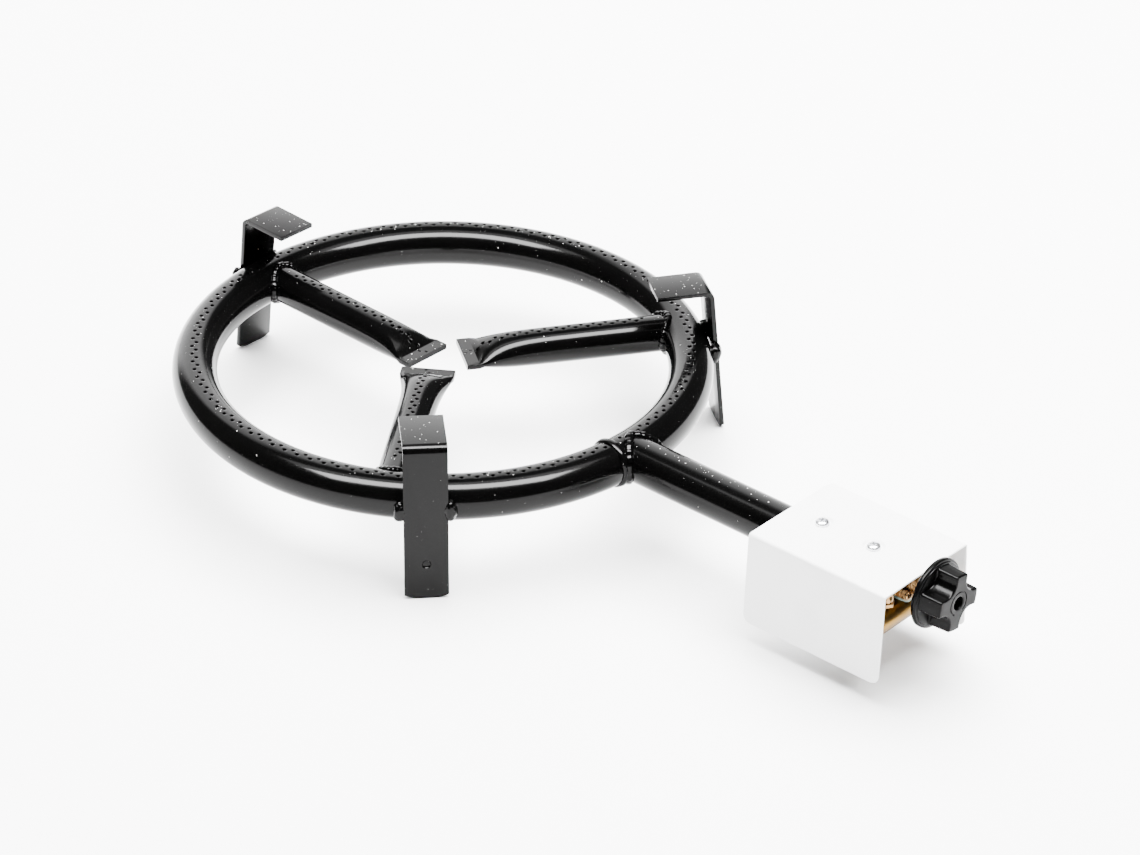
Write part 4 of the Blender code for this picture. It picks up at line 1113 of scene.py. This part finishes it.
def make_stem():
    """The stem: round, flatted for the knob, with a slot in its end for the bypass screw."""
    low, high = local_box("valve_stem")
    length = high.y - low.y
    profile = [(0, 0), (2.6, 0), (3.0, 0.4), (3.0, 17.5), (3.8, 17.5), (3.8, 18.5), (2.2, 18.5)]
    profile += [(2.2, length), (0, length)]
    stem = turned("valve_stem_looks", profile, tap_point(low.y), BACKWARDS)
    flat = box("flat", (TAP.x, low.y + 6, TAP.z + 3.2), (8, 13, 2))
    combine(stem, [flat, box("slot", (TAP.x, low.y, TAP.z), (8, 2.2, 0.8))])
    bevel(stem, 0.15, 2, 40)
    publish(stem, "valve_stem")


def make_sleeve():
    """The split steel sleeve that grips the stem inside the knob."""
    low, high = local_box("knob_sleeve")
    length = high.y - low.y
    section = [(3.3, 0), (3.9, 0), (3.9, length), (3.3, length)]
    sleeve = turned("knob_sleeve_looks", section, tap_point(low.y), BACKWARDS, closed=True)
    combine(sleeve, [box("slit", (TAP.x, low.y, TAP.z - 4), (1, 40, 3))])
    publish(sleeve, "knob_sleeve")


# -------------------- knob


def lobe_outline():
    """The grip's outline: four lobes with nearly flat tips, and round hollows between them."""
    tip = KNOB_TIP_RADIUS
    corner = (tip - 0.2 - KNOB_TIP_CORNER, KNOB_TIP_HALF_WIDTH)
    half = [(tip, 0.0), (tip - 0.05, 1.2), (tip - 0.15, 2.4)]
    half += arc(corner, KNOB_TIP_CORNER, 0.0, radians(84), 6)
    start = atan2(5.1 - KNOB_HOLLOW_CENTRE, 12.8 - KNOB_HOLLOW_CENTRE)  # where the lobe's flank ends
    half += arc((KNOB_HOLLOW_CENTRE, KNOB_HOLLOW_CENTRE), KNOB_HOLLOW_RADIUS, start, -3 * pi / 4, 11)
    quarter = half + [(y, x) for x, y in reversed(half[1:-1])]
    points = []
    for lobe in range(KNOB_LOBES):
        turn = KNOB_LOBE_ANGLE + 2 * pi * lobe / KNOB_LOBES
        for x, y in quarter:
            points.append(Vector((x * cos(turn) - y * sin(turn), x * sin(turn) + y * cos(turn))))
    return points


def offset_outline(points, inset):
    """An outline moved inwards along its own normals."""
    moved = []
    for i, point in enumerate(points):
        run = points[(i + 1) % len(points)] - points[i - 1]
        normal = Vector((run.y, -run.x)).normalized()
        moved.append(point - normal * inset)
    return moved


def groove_loop(rays, radius, y, depth):
    """A loop of the broken groove ring: at full depth but for a gap at the bottom."""
    loop = []
    for ray in rays:
        turn = (degrees(atan2(ray.y, ray.x)) + 90) % 360
        cut = min(max(min(turn - 28, 332 - turn) / 6, 0), 1)
        loop.append(tap_point(y + depth * cut) + Vector((ray.x, 0, ray.y)) * radius)
    return loop


def make_knob():
    """The knob in one skin: bore, skirt, lobed grip, groove ring, and the hole for the stem."""
    low, high = local_box("knob")
    back, front = high.y, low.y
    skirt = (high.x - low.x) / 2
    outline = lobe_outline()
    rays = [point.normalized() for point in outline]
    loops = []

    def add(points, y):
        loops.append([tap_point(y) + Vector((p.x, 0, p.y)) for p in points])

    def add_circle(radius, y):
        add([ray * radius for ray in rays], y)

    add_circle(KNOB_BORE, back - 10)
    add_circle(KNOB_BORE, back)
    for inset, drop in ((0.4, 0), (0, 0.4), (0, 2.0), (0.15, 2.4), (0.5, 2.7), (1.0, 2.8)):
        add_circle(skirt - inset, back - drop)
    for radius, drop in ((18.0, 2.85), (17.85, 3.0), (17.8, 3.3), (17.6, 3.45)):
        add_circle(radius, back - drop)
    base = back - 3.45
    for inset, drop in ((-0.75, 0), (-0.35, 0.12), (-0.12, 0.38), (-0.03, 0.8)):
        add(offset_outline(outline, inset), base - drop)
    for inset, rise in ((0.42, 1.1), (0.48, 0.75), (0.62, 0.42), (0.85, 0.18), (1.12, 0.05), (1.4, 0.0)):
        add(offset_outline(outline, inset), front + rise)
    for share in (0.35, 0.7):
        edge = offset_outline(outline, 1.4)
        add([p.lerp(ray * KNOB_FACE_RADIUS, share) for p, ray in zip(edge, rays)], front)
    add_circle(KNOB_FACE_RADIUS, front)
    for radius, depth in ((6.95, 0.0), (6.8, 0.45), (6.3, 0.45), (6.15, 0.0)):
        loops.append(groove_loop(rays, radius, front, depth))
    for radius, depth in ((5.4, 0), (4.2, 0), (3.9, 0.12), (3.75, 0.4), (3.7, 3.6), (KNOB_BORE, 3.7)):
        add_circle(radius, front + depth)
    publish(loft("knob_looks", loops, around=True), "knob", angle=50)


# -------------------- scene

FLOOR_REACH = 6.0
FLOOR_LEVEL = -0.0002  # just under the feet


def carry_over(*nodes):
    """CAD pieces shown as they are, with their slot's material."""
    for node in nodes:
        obj = frame["nodes"][node]
        obj.data.materials.clear()
        obj.data.materials.append(MATERIALS[SLOT_OF[node]])
        smooth(obj)


def make_floor():
    corners = [(FLOOR_REACH * x, FLOOR_REACH * y, FLOOR_LEVEL) for x, y in CORNERS]
    mesh = bpy.data.meshes.new("floor")
    mesh.from_pydata(corners, [], [(0, 1, 2, 3)])
    paint = Paint("floor_paper", Roughness=0.9)
    colour = paint.mix(paint.noise(3.0, 1.0), grey(0.90), grey(0.92))
    paint.feed(paint.shader, {"Base_Color": colour})
    mesh.materials.append(paint.material)
    link_object("floor", mesh)


CAMERA_AZIMUTH = -49.02  # degrees
CAMERA_ELEVATION = 31.54
CAMERA_ROLL = radians(0.81)
CAMERA_DISTANCE = 2.6064
CAMERA_SHIFT = (0.0703, -0.0353)  # metres right and up from the line to the ring's centre
CAMERA_LENS = 148.45
SENSOR_WIDTH = 36


def direction_of(azimuth, elevation):
    """A unit direction from degrees: azimuth 0 looks along -Y, and 90 along +X."""
    level = cos(radians(elevation))
    return Vector((sin(radians(azimuth)) * level, -cos(radians(azimuth)) * level, sin(radians(elevation))))


def camera_axes():
    """The direction back to the camera, and its right and up directions."""
    back = direction_of(CAMERA_AZIMUTH, CAMERA_ELEVATION)
    right = (-back).cross(UP).normalized()
    up = right.cross(-back)
    roll = CAMERA_ROLL
    return back, right * cos(roll) + up * sin(roll), up * cos(roll) - right * sin(roll)


def make_camera():
    back, right, up = camera_axes()
    data = bpy.data.cameras.new("camera")
    data.lens = CAMERA_LENS
    data.sensor_width = SENSOR_WIDTH
    data.clip_end = 50
    camera = link_object("camera", data)
    place = ORIGIN + back * CAMERA_DISTANCE + right * CAMERA_SHIFT[0] + up * CAMERA_SHIFT[1]
    rotation = Matrix((right, up, back)).transposed().to_4x4()
    camera.matrix_world = Matrix.Translation(place) @ rotation
    bpy.context.scene.camera = camera


PANEL_AZIMUTH = 143  # degrees
PANEL_HALF_WIDTH = 27
PANEL_TOP = 51
PANEL_SOFT_EDGE = 5
PANEL_STRENGTH = 7.0
ROOM_TONE = 0.024


def add_softbox(name, azimuth, elevation, distance, size, power, mirrored):
    """A soft rectangular light aimed at the burner: it shows in reflections, or lights matt faces."""
    direction = direction_of(azimuth, elevation)
    data = bpy.data.lights.new(name, "AREA")
    data.shape = "RECTANGLE"
    data.size, data.size_y = size
    data.energy = power
    light = link_object(name, data)
    light.location = ORIGIN + direction * distance
    light.visible_glossy = mirrored
    light.visible_diffuse = not mirrored
    light.rotation_euler = direction.to_track_quat("Z", "Y").to_euler()


def make_world():
    """A dark room with one tall bright panel on the burner's far side."""
    world = bpy.data.worlds.new("studio")
    world.use_nodes = True
    nodes = Nodes(world.node_tree, "Generated")
    height = nodes.node("SeparateXYZ", Vector=nodes.place).outputs["Z"]
    level = nodes.math("MULTIPLY", nodes.place, (1, 1, 0), "VectorMath")
    heading = nodes.math("NORMALIZE", level, (0, 0, 0), "VectorMath")
    middle = direction_of(PANEL_AZIMUTH, 0)
    facing = nodes.math("DOT_PRODUCT", heading, middle, "VectorMath", "Value")
    edges = (PANEL_SOFT_EDGE, -PANEL_SOFT_EDGE)
    beside = [cos(radians(PANEL_HALF_WIDTH + edge)) for edge in edges]
    above = [sin(radians(PANEL_TOP - edge)) for edge in edges]
    inside = nodes.remap(facing, *beside, 0.0, 1.0)
    panel = nodes.math("MULTIPLY", inside, nodes.remap(height, *above, 1.0, 0.0))
    background = world.node_tree.nodes["Background"]
    colour = nodes.mix(panel, grey(ROOM_TONE), grey(1.0))
    nodes.feed(background, {"Color": colour, "Strength": PANEL_STRENGTH})
    bpy.context.scene.world = world


def make_studio():
    """The room, two soft lights above for the reflections, and one for everything matt."""
    make_world()
    add_softbox("strip", CAMERA_AZIMUTH, 75, 1.9, (2.4, 0.7), 580, True)
    add_softbox("glow", CAMERA_AZIMUTH, 80, 2.0, (2.8, 1.5), 100, True)
    add_softbox("overhead", 100, 74, 2.3, (3.2, 3.0), 950, False)


make_ring()
for arm_name in ARMS:
    make_arm(arm_name)
make_inlet_tube()
make_tube_welds()
make_seam()
for leg_name in ("back", "left", "right"):
    make_leg(leg_name)
    make_leg_weld(leg_name, "a")
    make_leg_weld(leg_name, "b")
make_cover()
make_cover_screws()
make_bracket()
make_rail()
make_elbow()
make_nipple()
make_valve_body()
make_valve_cap()
make_injector()
make_stem()
make_sleeve()
make_knob()
carry_over("rail_gasket", "valve_plug", "valve_spring")
make_floor()
make_camera()
make_studio()
